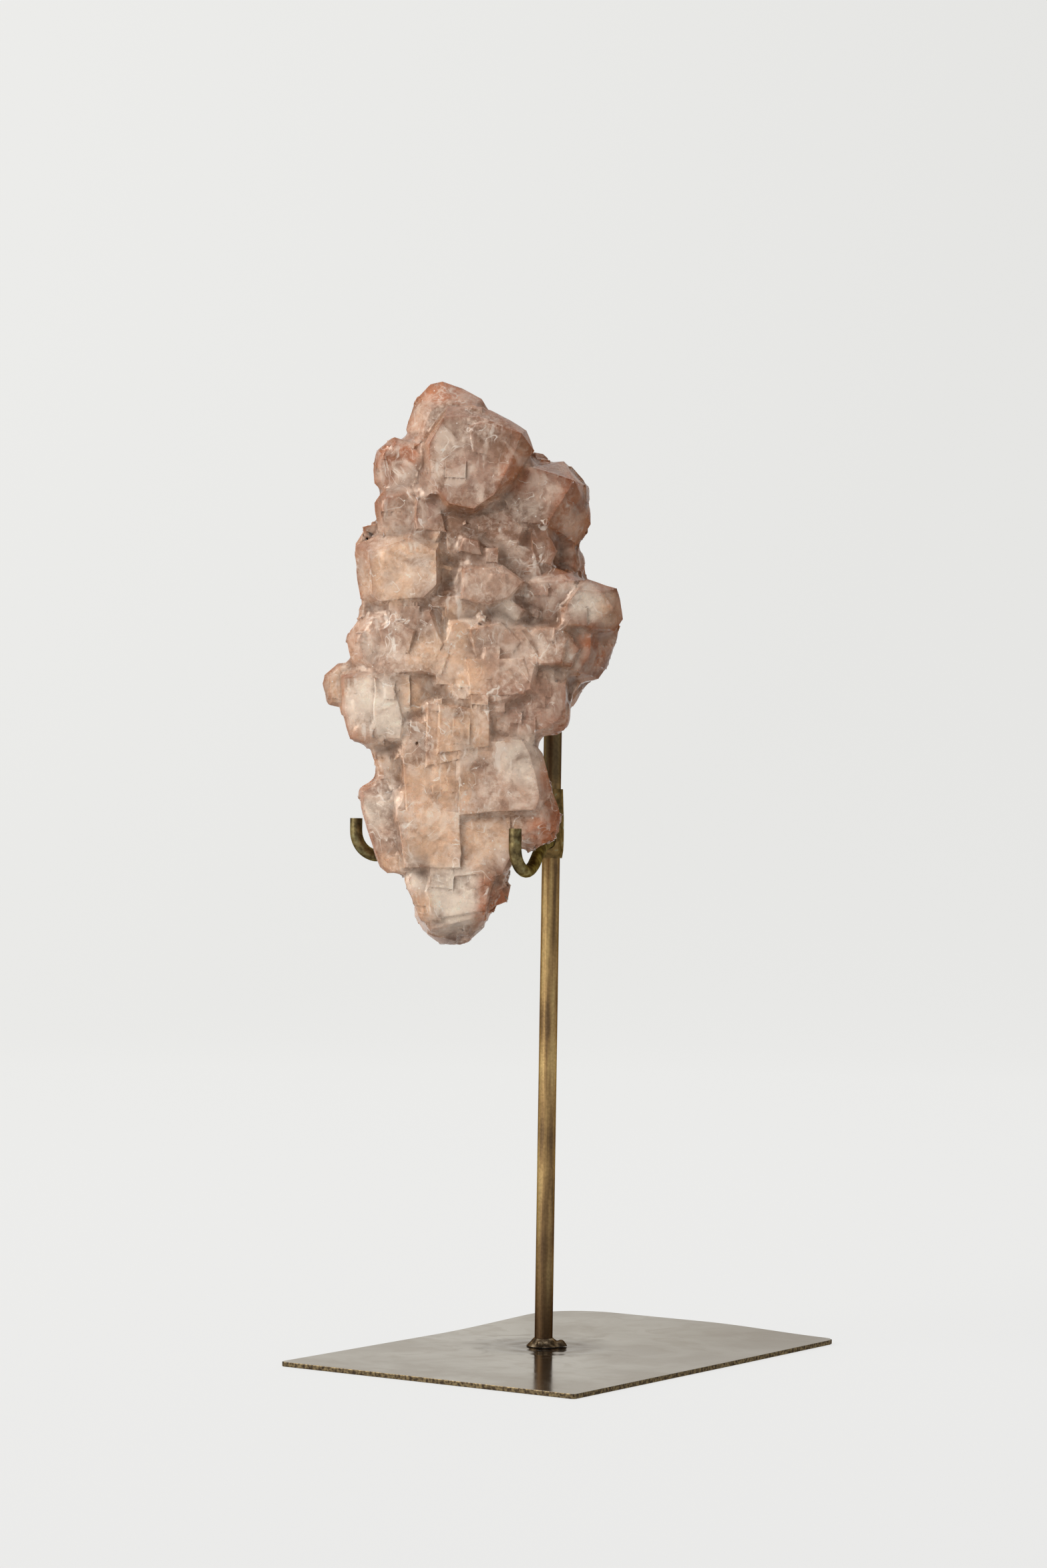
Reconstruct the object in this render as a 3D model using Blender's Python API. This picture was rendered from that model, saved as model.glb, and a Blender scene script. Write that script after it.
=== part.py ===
"""A calcite crystal cluster resting on a small brass cradle stand.

Row frame: origin on the table under the centre of the plate, +X right along the plate's front edge,
+Y to the back, +Z up. The cluster is turned about the post, so it is laid out in axes of its own:
`across` to its right, `z` above the table and `depth` toward its front, all in millimetres.
"""

import math

import bmesh
import bpy
from mathutils import Vector

MM = 0.001
GAP = 0.3  # clearance between pieces that touch

# Stand
PLATE_WIDTH, PLATE_DEPTH, PLATE_THICK = 112.0, 165.0, 1.6
PLATE_CORNERS = {"front_left": 1.5, "front_right": 1.5, "back_right": 4.5, "back_left": 22.0}
POST_X, POST_Y = -10.8, 2.2
POST_RADIUS, POST_TOP = 3.0, 247.0
FOOT_RADIUS, FOOT_HEIGHT = 7.4, 4.2
WIRE_RADIUS = 2.0
ARM_REACH = 73.5  # from the post's axis to the hook's upright tip
ARM_SPREAD = math.radians(26)  # of each arm from straight ahead
ARM_START, ARM_START_Z = 5.2, 169.5  # its end inside the filler metal, clear of the other arm's
HOOK_BEND = 8.0
BRAZE_LOW, BRAZE_TOP, BRAZE_SWELL = 164.0, 187.0, 3.2

# Cluster
FACING = math.radians(33.6)  # its front, turned from the plate's front edge
TRUE_DEPTH, SIGHT_DISTANCE = 45.0, 1180.0
SIGHT_ACROSS, SIGHT_Z = -17.0, 180.0
TAPER = 0.07  # how much a crystal narrows per mm from its front to its back


def mesh_object(name, mesh_from, parent=None):
    """An object whose mesh is made by mesh_from(bm) in millimetres."""
    bm = bmesh.new()
    mesh_from(bm)
    bmesh.ops.scale(bm, vec=(MM, MM, MM), verts=bm.verts)
    bmesh.ops.recalc_face_normals(bm, faces=bm.faces)
    mesh = bpy.data.meshes.new(name)
    bm.to_mesh(mesh)
    bm.free()
    obj = bpy.data.objects.new(name, mesh)
    obj.parent = parent
    bpy.context.scene.collection.objects.link(obj)
    return obj


def material(name, colour, roughness, metallic=0.0, transmission=0.0):
    made = bpy.data.materials.new(name)
    made.use_nodes = True
    shader = made.node_tree.nodes["Principled BSDF"]
    shader.inputs["Base Color"].default_value = (*colour, 1.0)
    shader.inputs["Roughness"].default_value = roughness
    shader.inputs["Metallic"].default_value = metallic
    shader.inputs["Transmission Weight"].default_value = transmission
    return made


def empty(name, location=(0, 0, 0), turn=0.0, parent=None):
    made = bpy.data.objects.new(name, None)
    made.location = [value * MM for value in location]
    made.rotation_euler.z = turn
    made.parent = parent
    bpy.context.scene.collection.objects.link(made)
    return made


def helper(obj):
    """Marks a cutter or other helper, which is no piece of the object."""
    obj.hide_render = True
    obj.display_type = "WIRE"
    return obj


def boolean(obj, other, operation):
    modifier = obj.modifiers.new(operation.title(), "BOOLEAN")
    modifier.operation = operation
    modifier.solver = "EXACT"
    modifier.use_self = operation == "UNION"
    modifier.object = other


def smooth(obj, degrees=35):
    obj.data.shade_smooth()
    obj.data.set_sharp_from_angle(angle=math.radians(degrees))


# ---- Stand -------------------------------------------------------------------------------------


def corner_arc(centre, radius, start, steps=8):
    """Points of a quarter circle that begins at the angle start, in degrees."""
    for step in range(steps + 1):
        angle = math.radians(start + 90 * step / steps)
        yield centre[0] + radius * math.cos(angle), centre[1] + radius * math.sin(angle)


def plate_outline():
    half_x, half_y = PLATE_WIDTH / 2, PLATE_DEPTH / 2
    corners = (
        ("back_right", 1, 1, 0),
        ("back_left", -1, 1, 90),
        ("front_left", -1, -1, 180),
        ("front_right", 1, -1, 270),
    )
    for name, side_x, side_y, start in corners:
        radius = PLATE_CORNERS[name]
        centre = (side_x * (half_x - radius), side_y * (half_y - radius))
        yield from corner_arc(centre, radius, start, steps=max(3, round(radius / 2.5)))


def base_plate(bm):
    rim = [bm.verts.new((x, y, 0)) for x, y in plate_outline()]
    underside = bm.faces.new(rim)
    extruded = bmesh.ops.extrude_face_region(bm, geom=[underside])
    top = [item for item in extruded["geom"] if isinstance(item, bmesh.types.BMVert)]
    bmesh.ops.translate(bm, vec=(0, 0, PLATE_THICK), verts=top)


def turned(bm, profile, steps=32):
    """A solid turned about Z from a closed loop of (radius, z) points."""
    points = [bm.verts.new((radius, 0, z)) for radius, z in profile]
    edges = [bm.edges.new(pair) for pair in zip(points, points[1:] + points[:1])]
    bmesh.ops.spin(
        bm, geom=points + edges, cent=(0, 0, 0), axis=(0, 0, 1), angle=math.tau, steps=steps, use_merge=True
    )
    bmesh.ops.remove_doubles(bm, verts=bm.verts, dist=0.001)


def post(bm):
    foot = PLATE_THICK + GAP
    chamfer = 0.5
    bmesh.ops.create_cone(
        bm, cap_ends=True, segments=32, radius1=POST_RADIUS, radius2=POST_RADIUS, depth=POST_TOP - foot
    )
    bmesh.ops.translate(bm, vec=(0, 0, (POST_TOP + foot) / 2), verts=bm.verts)
    top = [edge for edge in bm.edges if all(vert.co.z > POST_TOP - 0.01 for vert in edge.verts)]
    bmesh.ops.bevel(bm, geom=top, offset=chamfer, segments=1, affect="EDGES")


def foot_braze(bm):
    """A low mound around the post, with a lump of filler metal on its right."""
    inner, low = POST_RADIUS + GAP, PLATE_THICK + GAP
    mound = [(inner, low), (FOOT_RADIUS, low), (FOOT_RADIUS - 0.6, low + 0.9)]
    mound += [(FOOT_RADIUS - 2.6, low + 2.0), (inner + 1.2, low + 3.4), (inner, low + FOOT_HEIGHT)]
    turned(bm, mound)
    for vert in bm.verts:
        around = math.atan2(vert.co.y, vert.co.x)
        outward = math.hypot(vert.co.x, vert.co.y) - inner
        swell = 1 + 0.18 * math.cos(around - 0.6) + 0.05 * math.sin(3 * around)
        if outward > 0.1:
            reach = (inner + outward * swell) / (inner + outward)
            vert.co.x *= reach
            vert.co.y *= reach


def arm_points(droop, tip, lean):
    """An arm along +X from the post: a straight run that falls by droop, then an upturned hook."""
    start, run = ARM_START, ARM_REACH - HOOK_BEND
    low = ARM_START_Z - droop
    for step in range(5):
        part = step / 4
        yield start + (run - start) * part, 0, ARM_START_Z - droop * part
    rise = HOOK_BEND + tip
    for step in range(1, 7):
        angle = math.radians(90 * step / 6)
        up = HOOK_BEND * (1 - math.cos(angle))
        yield run + HOOK_BEND * math.sin(angle), lean * up / rise, low + up
    yield run + HOOK_BEND, lean, low + rise


def swept_wire(bm, points, radius, sides=12):
    """A round wire along points that run mostly in the XZ plane, with flat ends."""
    rings = []
    for index, place in enumerate(points):
        before, after = points[max(index - 1, 0)], points[min(index + 1, len(points) - 1)]
        along = (Vector(after) - Vector(before)).normalized()
        across = Vector((0, 1, 0)).cross(along).normalized()
        beside = along.cross(across)
        turns = [math.tau * side / sides for side in range(sides)]
        around = [across * math.cos(turn) + beside * math.sin(turn) for turn in turns]
        rings.append([bm.verts.new(Vector(place) + radius * way) for way in around])
    for here, there in zip(rings, rings[1:]):
        for side in range(sides):
            after = (side + 1) % sides
            bm.faces.new((here[side], here[after], there[after], there[side]))
    bm.faces.new(rings[0])
    bm.faces.new(rings[-1])


def arm(hook, axis, suffix="", radius=WIRE_RADIUS):
    """A bent wire: its name, turn about the post, droop, and the height and lean of its upright tip."""
    name, turn, droop, tip, lean = hook
    points = list(arm_points(droop, tip, lean))
    obj = mesh_object(name + suffix, lambda bm: swept_wire(bm, points, radius), axis)
    obj.rotation_euler.z = turn
    return obj


def cradle_braze(bm):
    """A thin sleeve of filler metal on the post, swollen at the front where the arms leave it."""
    inner, edge = POST_RADIUS + GAP, 0.4
    levels = [(BRAZE_LOW, edge), (ARM_START_Z - 3, 0.8), (ARM_START_Z, 0.9), (ARM_START_Z + 3, 0.9)]
    levels += [(ARM_START_Z + 8, 0.8), (BRAZE_TOP, edge)]
    sleeve = [(inner, BRAZE_TOP), (inner, BRAZE_LOW)] + [(inner + wall, z) for z, wall in levels]
    turned(bm, sleeve, steps=24)
    for vert in bm.verts:
        out = Vector((vert.co.x, vert.co.y))
        if out.length > inner + 0.5:
            ahead = max(0.0, -out.y / out.length)
            near = max(0.0, 1 - abs(vert.co.z - ARM_START_Z) / 6)
            swell = out.normalized() * BRAZE_SWELL * ahead * near
            vert.co.x += swell.x
            vert.co.y += swell.y


def build_stand():
    plate_brass = material("plate brass", (0.40, 0.34, 0.27), 0.32, metallic=1.0)
    rod_brass = material("rod brass", (0.36, 0.27, 0.13), 0.42, metallic=1.0)
    wire_brass = material("wire brass", (0.26, 0.23, 0.13), 0.5, metallic=1.0)
    filler = material("brazing filler", (0.30, 0.24, 0.14), 0.5, metallic=1.0)
    axis = empty("post_axis", (POST_X, POST_Y, 0))

    plate = mesh_object("base_plate", base_plate)
    plate.data.materials.append(plate_brass)
    rod = mesh_object("post", post, axis)
    rod.data.materials.append(rod_brass)
    smooth(rod)
    foot = mesh_object("foot_braze", foot_braze, axis)
    foot.data.materials.append(filler)
    smooth(foot)

    ahead = -math.pi / 2
    joint = mesh_object("cradle_braze", cradle_braze, axis)
    joint.data.materials.append(filler)
    hooks = (
        ("arm_left", ahead - ARM_SPREAD, 5.5, 4.0, 0.0),
        ("arm_right", ahead + ARM_SPREAD, 9.8, 5.5, -2.2),
    )
    for hook in hooks:
        wire = arm(hook, axis)
        wire.data.materials.append(wire_brass)
        smooth(wire)
        boolean(joint, helper(arm(hook, axis, "_socket", WIRE_RADIUS + GAP)), "DIFFERENCE")
    smooth(joint)
    return axis


# ---- Cluster -----------------------------------------------------------------------------------
# Each crystal is a block with a chamfered front. Its corners are (across, z) places as they look from
# SIGHT_DISTANCE in front, where depth 45 is true to scale, so a nearer face is drawn a little smaller.


class Block:
    """A crystal: its outline, and a front face that is either given or the outline drawn in."""

    def __init__(self, outline, front, back, chamfer=2.0, face=None, drop=None, tilt=(0, 0)):
        self.outline = outline
        self.front, self.back = front, back  # depths of its two end faces
        self.chamfer = chamfer  # width of the sloping band around an end face
        self.face = face or drawn_in(outline, chamfer)
        self.drop = drop or chamfer  # how far the sloping band falls back from the front
        self.tilt = tilt  # of the front, in depth per mm across and per mm of z


def centre_of(outline):
    return [sum(values) / len(outline) for values in zip(*outline)]


def drawn_in(outline, inset):
    """The outline with each corner this far nearer to its centre."""
    centre = Vector(centre_of(outline))
    drawn = []
    for corner in outline:
        away = Vector(corner) - centre
        drawn.append(tuple(centre + away * max(0.25, 1 - inset / away.length)))
    return drawn


def top_blocks():
    left_top = [(-49.5, 301), (-47.5, 309), (-46, 312.5), (-42, 317), (-38, 318), (-31.5, 316)]
    left_top += [(-25, 312.5), (-20, 305), (-18, 284), (-34, 277), (-45, 293)]
    left_face = [(-43.5, 301), (-41.5, 308), (-36, 311.5), (-28, 309.5), (-22, 300), (-24, 284), (-40, 290)]
    yield Block(left_top, 68, 32, face=left_face, drop=7, chamfer=4, tilt=(0.10, -0.03))

    big = [(-36, 309.5), (-27, 310), (-22, 308.7), (-15.5, 305.5), (-9.7, 302), (-7, 295), (-12, 288)]
    big += [(-18, 279), (-27, 273.5), (-36, 275.5), (-44, 284), (-43.5, 297)]
    big_face = [(-37, 306), (-25, 306), (-11, 301), (-17, 292), (-20.5, 280.5), (-27, 276), (-35, 277.5)]
    big_face += [(-42, 286), (-42, 297)]
    yield Block(big, 75, 40, face=big_face, drop=5, tilt=(0.02, 0.02))
    inner = [(-29, 303.5), (-24, 305), (-18, 303), (-14, 300), (-19, 292), (-28, 294)]
    yield Block(inner, 75.7, 60, chamfer=0.8, tilt=(-0.02, 0.04))

    left = [(-53, 299), (-59, 293), (-59.5, 287.5), (-59, 283), (-56.5, 280.5), (-47, 279), (-38, 281)]
    left += [(-36, 292), (-44, 296)]
    yield Block(left, 67, 34, chamfer=2.6, tilt=(0.20, 0.05))
    yield Block(
        [(-59.6, 290), (-57, 292), (-50, 291), (-49, 282), (-58, 282.5)], 65, 40, chamfer=1.2, tilt=(0.3, 0)
    )

    knob = [(-9, 295.5), (-4.5, 294.5), (-2.8, 293), (-2.2, 289), (-6, 283), (-13, 286)]
    yield Block(knob, 56, 30, chamfer=1.6, tilt=(-0.2, 0.1))
    right = [(-12, 290), (-8, 291.5), (0, 292), (2.2, 292.3), (6.5, 288), (10.2, 284.3), (11.3, 275)]
    right += [(11.2, 271.5), (7, 264.5), (-3, 262.5), (-13, 268), (-18.5, 279)]
    right_face = [(-17.5, 280), (-14, 285), (-10.5, 289.5), (-8, 290.2), (5.8, 286)]
    right_face += [(-3.5, 270.5), (-13.5, 272.5)]
    yield Block(right, 69, 33, face=right_face, drop=12, chamfer=4, tilt=(-0.06, 0.04))
    yield Block([(6, 264.5), (8.5, 262), (9.7, 257), (8, 251), (0, 251), (1, 264)], 50, 26, tilt=(0.1, 0.3))

    hollow = [(-37, 276), (-26, 280), (-12, 277), (-3, 268), (-1, 259), (-6, 251), (-31, 252), (-37, 262)]
    yield Block(hollow, 67.5, 38, tilt=(-0.08, 0.10))
    yield Block(
        [(-30, 274), (-17, 276), (-9, 270), (-12, 262), (-27, 264)], 69, 50, chamfer=1.5, tilt=(0.05, 0.2)
    )
    yield Block(
        [(-9, 271), (-3.5, 270), (1, 262), (-1, 257), (-8, 259)], 67.5, 50, chamfer=1.0, tilt=(-0.2, -0.1)
    )
    shelf = [(-58.8, 274), (-59, 277.5), (-56.5, 281), (-48, 283), (-37, 279)]
    shelf += [(-34, 270), (-38, 262), (-57, 265)]
    yield Block(shelf, 69, 34, chamfer=2.2, tilt=(0.10, 0.06))
    yield Block([(-46, 280), (-37, 277), (-35, 268), (-45, 269)], 70.5, 50, chamfer=0.9, tilt=(-0.03, 0.05))
    tooth = [(-65, 264.5), (-62, 266), (-62, 269.5), (-57, 271), (-50, 268), (-52, 256), (-64, 256)]
    yield Block(tooth, 63, 38, chamfer=1.0, tilt=(0.15, 0))

    smooth_block = [(-63, 246), (-64.5, 255), (-65, 264), (-58, 267.5), (-46, 270), (-37, 266)]
    smooth_block += [(-35.5, 252), (-40, 244), (-56, 242)]
    smooth_face = [(-59, 248), (-60.5, 262), (-47, 266.5), (-38.5, 262), (-38, 251)]
    smooth_face += [(-42, 246.5), (-56, 245.5)]
    yield Block(smooth_block, 72, 38, face=smooth_face, drop=5, chamfer=3, tilt=(0.05, -0.02))
    yield Block(
        [(-32, 261), (-30.5, 267.5), (-24.5, 266), (-23, 260)], 71.5, 50, chamfer=0.9, tilt=(0, 0.25)
    )
    yield Block(
        [(-22.8, 258), (-22.5, 263.5), (-18.3, 263.5), (-18.3, 258)], 71, 50, chamfer=0.5, tilt=(0, -0.1)
    )


def middle_blocks():
    pale = [(-31, 246), (-30.5, 256.5), (-17, 258), (-9.5, 252.5), (-14, 246.5), (-21, 244)]
    yield Block(pale, 73, 50, chamfer=1.2, tilt=(0, -0.16))
    yield Block(
        [(-20, 246.5), (-15, 247.5), (-9, 243), (-12, 238), (-20, 240)],
        71.5, 50, chamfer=1, tilt=(0.1, 0.3),
    )
    ridge = [(-11, 253), (-6, 256.5), (0, 257.3), (9, 254.3), (12, 250), (8, 241), (-2, 236), (-14, 240)]
    ridge_face = [(-9, 252), (-1, 251.5), (6, 253), (0, 246), (1, 240), (-4, 238), (-11, 242)]
    yield Block(ridge, 69, 40, face=ridge_face, drop=4, tilt=(-0.02, 0.12))
    knuckle = [(2, 243), (6, 252.5), (10.5, 254.6), (15, 253.2), (20, 251.5), (20.9, 248), (22, 241)]
    knuckle += [(19.5, 236.5), (11, 235), (3.5, 238)]
    knuckle_face = [(3, 245), (7, 250.5), (14.5, 250), (19, 243.5), (11.5, 237.5), (4, 240.5)]
    yield Block(knuckle, 71, 38, face=knuckle_face, drop=4.5, tilt=(-0.10, 0.04))
    lower_right = [(20, 237.2), (20, 235), (17.5, 230), (17.7, 227.5), (16.7, 224), (14.7, 221), (9, 219.4)]
    lower_right += [(1, 222), (-1, 232), (6, 240), (15, 241)]
    lower_face = [(12, 239), (11.5, 229), (8, 223.5), (2, 225), (0, 233), (6, 239)]
    yield Block(lower_right, 68, 34, face=lower_face, drop=9, tilt=(-0.15, 0.05))
    white = [(-9.5, 236), (-7, 238), (0, 238.5), (5, 234), (3.5, 226), (-4, 225), (-11, 230)]
    yield Block(white, 71.5, 46, chamfer=1.2, tilt=(-0.05, -0.22))
    yield Block(
        [(-1, 238), (3, 237.5), (9, 231), (6, 224.5), (-2, 227)], 70.5, 50, chamfer=1, tilt=(-0.25, 0.0)
    )

    yield Block([(-38, 250), (-28, 250), (-18, 247), (-9, 242), (-12, 236), (-24, 235), (-38, 238)], 70, 40)
    yield Block(
        [(-36, 247), (-29, 248.5), (-22, 243), (-27, 238), (-36, 240)],
        71, 50, chamfer=0.9, tilt=(0.1, 0.15),
    )
    left = [(-65.8, 225), (-67.5, 233), (-66.3, 236.3), (-61, 243), (-52, 246), (-38, 245), (-33, 233)]
    left += [(-38, 222), (-57, 219)]
    left_face = [(-62, 227), (-63.5, 233), (-58, 240.5), (-50, 243), (-40, 242)]
    left_face += [(-36, 232), (-40, 223), (-56, 222)]
    yield Block(left, 71, 34, face=left_face, drop=4, tilt=(0.10, -0.03))
    yield Block(
        [(-57, 237), (-51, 240), (-44, 236), (-46, 228), (-55, 227)], 71.8, 50, chamfer=1, tilt=(0.15, 0.1)
    )
    yield Block(
        [(-44, 231), (-38, 234), (-33, 229), (-36, 221), (-43, 222)],
        72.2, 50, chamfer=1.1, tilt=(0.1, -0.1),
    )
    centre = [(-34, 240), (-25, 242), (-9, 238), (-3, 229), (-6, 217), (-18, 212.5), (-32, 213), (-40, 224)]
    yield Block(centre, 72.5, 44, chamfer=1.8, tilt=(0.02, -0.03))
    yield Block(
        [(-28, 237), (-17, 239.5), (-10, 233), (-13, 228), (-26, 228)],
        73.3, 60, chamfer=0.8, tilt=(-0.02, 0.1),
    )
    yield Block(
        [(-29, 228), (-9, 228.5), (-6.5, 222), (-9, 216), (-28, 215.5)],
        73.6, 60, chamfer=0.9, tilt=(-0.04, 0),
    )

    ear = [(-73, 211.5), (-74, 216), (-75, 218.5), (-74.3, 221.5), (-70, 225.4), (-64, 226), (-52, 223)]
    ear += [(-50, 212), (-60, 209), (-68.5, 210.4)]
    yield Block(ear, 65, 36, chamfer=1.8, tilt=(0.15, 0.08))
    barrel = [(-69, 221.5), (-60, 223), (-52, 220.5), (-49.5, 215.5), (-47, 208), (-48, 200.5)]
    barrel += [(-60, 199.3), (-65.8, 200.5), (-68.5, 210)]
    yield Block(barrel, 71, 38, chamfer=1.5, tilt=(0.07, -0.03))
    yield Block([(-58, 221), (-50.5, 218), (-48, 208), (-49.5, 202), (-58, 201)], 71.8, 60, chamfer=0.8)
    yield Block(
        [(-50, 222), (-40, 227), (-34, 220), (-35, 204), (-42, 198), (-50, 200)], 70.3, 40, chamfer=1.2
    )
    yield Block([(-46.5, 208.5), (-41.5, 207.5), (-41, 199), (-47, 199)], 71, 60, chamfer=0.4)
    yield Block([(-41.5, 214), (-20, 212), (-19.6, 196), (-41, 192)], 72.3, 48, chamfer=0.8)
    yield Block(
        [(-37.5, 213), (-20.4, 211.2), (-20, 199), (-37.5, 196)], 73, 60, chamfer=0.6, tilt=(-0.02, 0)
    )
    shoulder = [(-17, 218.5), (5, 223), (5.5, 212), (5.4, 208.3), (4, 205)]
    shoulder += [(-1.5, 203), (-13, 201.5), (-20, 205)]
    shoulder_face = [(-16.5, 217.5), (4.3, 220.5), (4.2, 209.5), (-3, 205.5), (-13, 203), (-19, 205.5)]
    yield Block(shoulder, 70, 36, face=shoulder_face, drop=5, tilt=(-0.08, -0.02))
    yield Block(
        [(9.2, 219.6), (5.3, 214), (-3, 212), (-3, 224), (6, 224)], 60, 28, chamfer=1, tilt=(0.1, 0.1)
    )


def lower_blocks():
    slab = [(-31, 199), (-20, 200.5), (-14, 202.3), (-9, 202.5), (-5.5, 201.5), (-2.5, 198), (-0.9, 192)]
    slab += [(0, 186), (-3, 178), (-30, 176)]
    slab_face = [(-31, 199), (-20, 200), (-14, 202), (-9.8, 202), (-7, 197), (-5, 190)]
    slab_face += [(-4, 184), (-5, 179), (-30, 177)]
    yield Block(slab, 72, 38, face=slab_face, drop=5, tilt=(-0.03, 0.02))
    bump = [(-6, 188), (0.2, 185.5), (2.6, 178.5), (2.6, 172.5), (0, 169.5), (-5, 166.8), (-10, 166.8)]
    bump += [(-24, 167.5), (-24, 186)]
    bump_face = [(-6, 184), (-3, 180), (-2.5, 175), (-9, 171), (-23, 170), (-23, 184)]
    yield Block(bump, 69.5, 42, face=bump_face, drop=4, tilt=(-0.06, 0.02))
    flank = [(-59.8, 199.8), (-58, 194), (-55, 190), (-52, 184), (-40, 182), (-38, 201), (-50, 204)]
    yield Block(flank, 68.5, 36, chamfer=1.3, tilt=(0.10, 0))
    wing = [(-54.5, 189.3), (-62, 185), (-62, 183), (-61.5, 178.5), (-57.5, 167), (-55.5, 160)]
    wing += [(-53, 157.6), (-47.5, 157.6), (-43, 164), (-42, 188)]
    yield Block(wing, 67, 42, chamfer=1.5, tilt=(0.16, 0.0))
    yield Block(
        [(-57, 181), (-49, 183), (-46, 176), (-48, 168), (-55, 169)], 68, 50, chamfer=0.9, tilt=(0.22, 0.05)
    )
    yield Block([(-56, 188), (-46, 190), (-45, 182), (-56, 181.5)], 67.5, 50, chamfer=0.9, tilt=(0.1, 0.2))
    yield Block([(-49, 200), (-28, 200), (-22, 190), (-24, 177), (-47, 178)], 71.4, 44, chamfer=0.8)
    yield Block([(-38.5, 199), (-31, 199), (-31, 184), (-39, 184)], 71.8, 60, chamfer=0.4)
    yield Block(
        [(-50, 179.5), (-29, 178.5), (-28.5, 160), (-48, 159.5)], 71.6, 44, chamfer=0.6, tilt=(0.02, 0)
    )
    yield Block(
        [(-31, 180), (-13, 179), (-11.9, 163), (-15, 158), (-32, 157)],
        70.4, 42, chamfer=1, tilt=(-0.04, -0.02),
    )
    yield Block([(-12.3, 167), (-12.5, 161.5), (-14, 159.5), (-26, 156), (-26, 168)], 68.5, 40, chamfer=0.8)
    yield Block(
        [(-15.5, 159), (-14.3, 154.3), (-22, 151), (-27, 158)], 64, 38, chamfer=0.7, tilt=(-0.1, 0.1)
    )
    yield Block([(-16, 154.5), (-14.2, 149.5), (-18.5, 147.8), (-27, 147), (-27, 155)], 62, 37, chamfer=0.7)
    tongue = [(-46.8, 157), (-46.4, 152), (-44.6, 148), (-36, 146), (-32, 160), (-43, 165)]
    yield Block(tongue, 69.5, 44, chamfer=1.2, tilt=(0.08, -0.03))
    yield Block([(-54, 163), (-52, 158), (-47.5, 157.2), (-41, 160), (-42, 167)], 68.5, 44, chamfer=1)
    yield Block(
        [(-38, 166), (-22, 166), (-18.5, 156), (-20.5, 146), (-36, 143), (-41, 152)], 70.3, 42, chamfer=1
    )
    foot = [(-44.5, 151), (-44.4, 144), (-41.3, 139.6), (-36, 135.6), (-29, 135), (-26.3, 136)]
    foot += [(-21.2, 141), (-20.2, 145.5), (-24, 156), (-40, 158)]
    foot_face = [(-43, 151), (-42.5, 144.5), (-39, 139.5), (-26, 143.5), (-21, 145.3)]
    foot_face += [(-25, 156), (-40, 157)]
    yield Block(foot, 69.3, 40, face=foot_face, drop=11, chamfer=2.5, tilt=(0.03, 0.02))
    yield Block([(-25, 149), (-20.4, 146), (-21.4, 141), (-30, 140)], 60, 42, chamfer=0.8)


def side_blocks():
    """Crystals that show between the others from the sides and from above."""
    yield Block([(-44, 313), (-36, 316), (-28, 312), (-30, 304), (-42, 304)], 52, 20, 2.5)
    yield Block([(-24, 306), (-14, 303), (-10, 298), (-16, 290), (-26, 294)], 58, 27, 2)
    yield Block([(2, 285), (8, 282), (9.5, 272), (4, 266), (-4, 274)], 48, 22, 2)
    yield Block([(8, 250), (17, 249), (19.5, 242), (14, 236), (6, 240)], 55, 24, 2.2)
    yield Block([(6, 237), (15, 234), (15, 226), (8, 222), (0, 228)], 54, 17, 2)
    yield Block([(-4, 222), (4, 219), (4.5, 210), (-2, 206), (-10, 212)], 52, 23, 1.8)
    yield Block([(-12, 200), (-4, 198), (-2.5, 190), (-6, 182), (-16, 186)], 56, 25, 2)
    yield Block([(-57, 296), (-50, 297.5), (-46, 288), (-50, 280), (-57.5, 283)], 52, 25, 2)
    yield Block([(-57, 279), (-50, 281), (-46, 274), (-50, 268), (-57, 273)], 56, 22, 2)
    yield Block([(-63, 262), (-56, 265), (-50, 256), (-54, 247), (-62, 250)], 54, 19, 2.4)
    yield Block([(-65.5, 234), (-60, 240.5), (-52, 234), (-55, 224), (-64, 226)], 56, 24, 2)
    yield Block([(-72.5, 219), (-66, 224), (-58, 219), (-60, 211), (-70, 213)], 52, 27, 1.8)
    yield Block([(-66, 216), (-58, 214), (-56, 204), (-64, 202)], 48, 19, 1.5)
    yield Block([(-57.5, 197), (-50, 201), (-46, 192), (-50, 186), (-55, 190)], 58, 28, 1.5)


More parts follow.
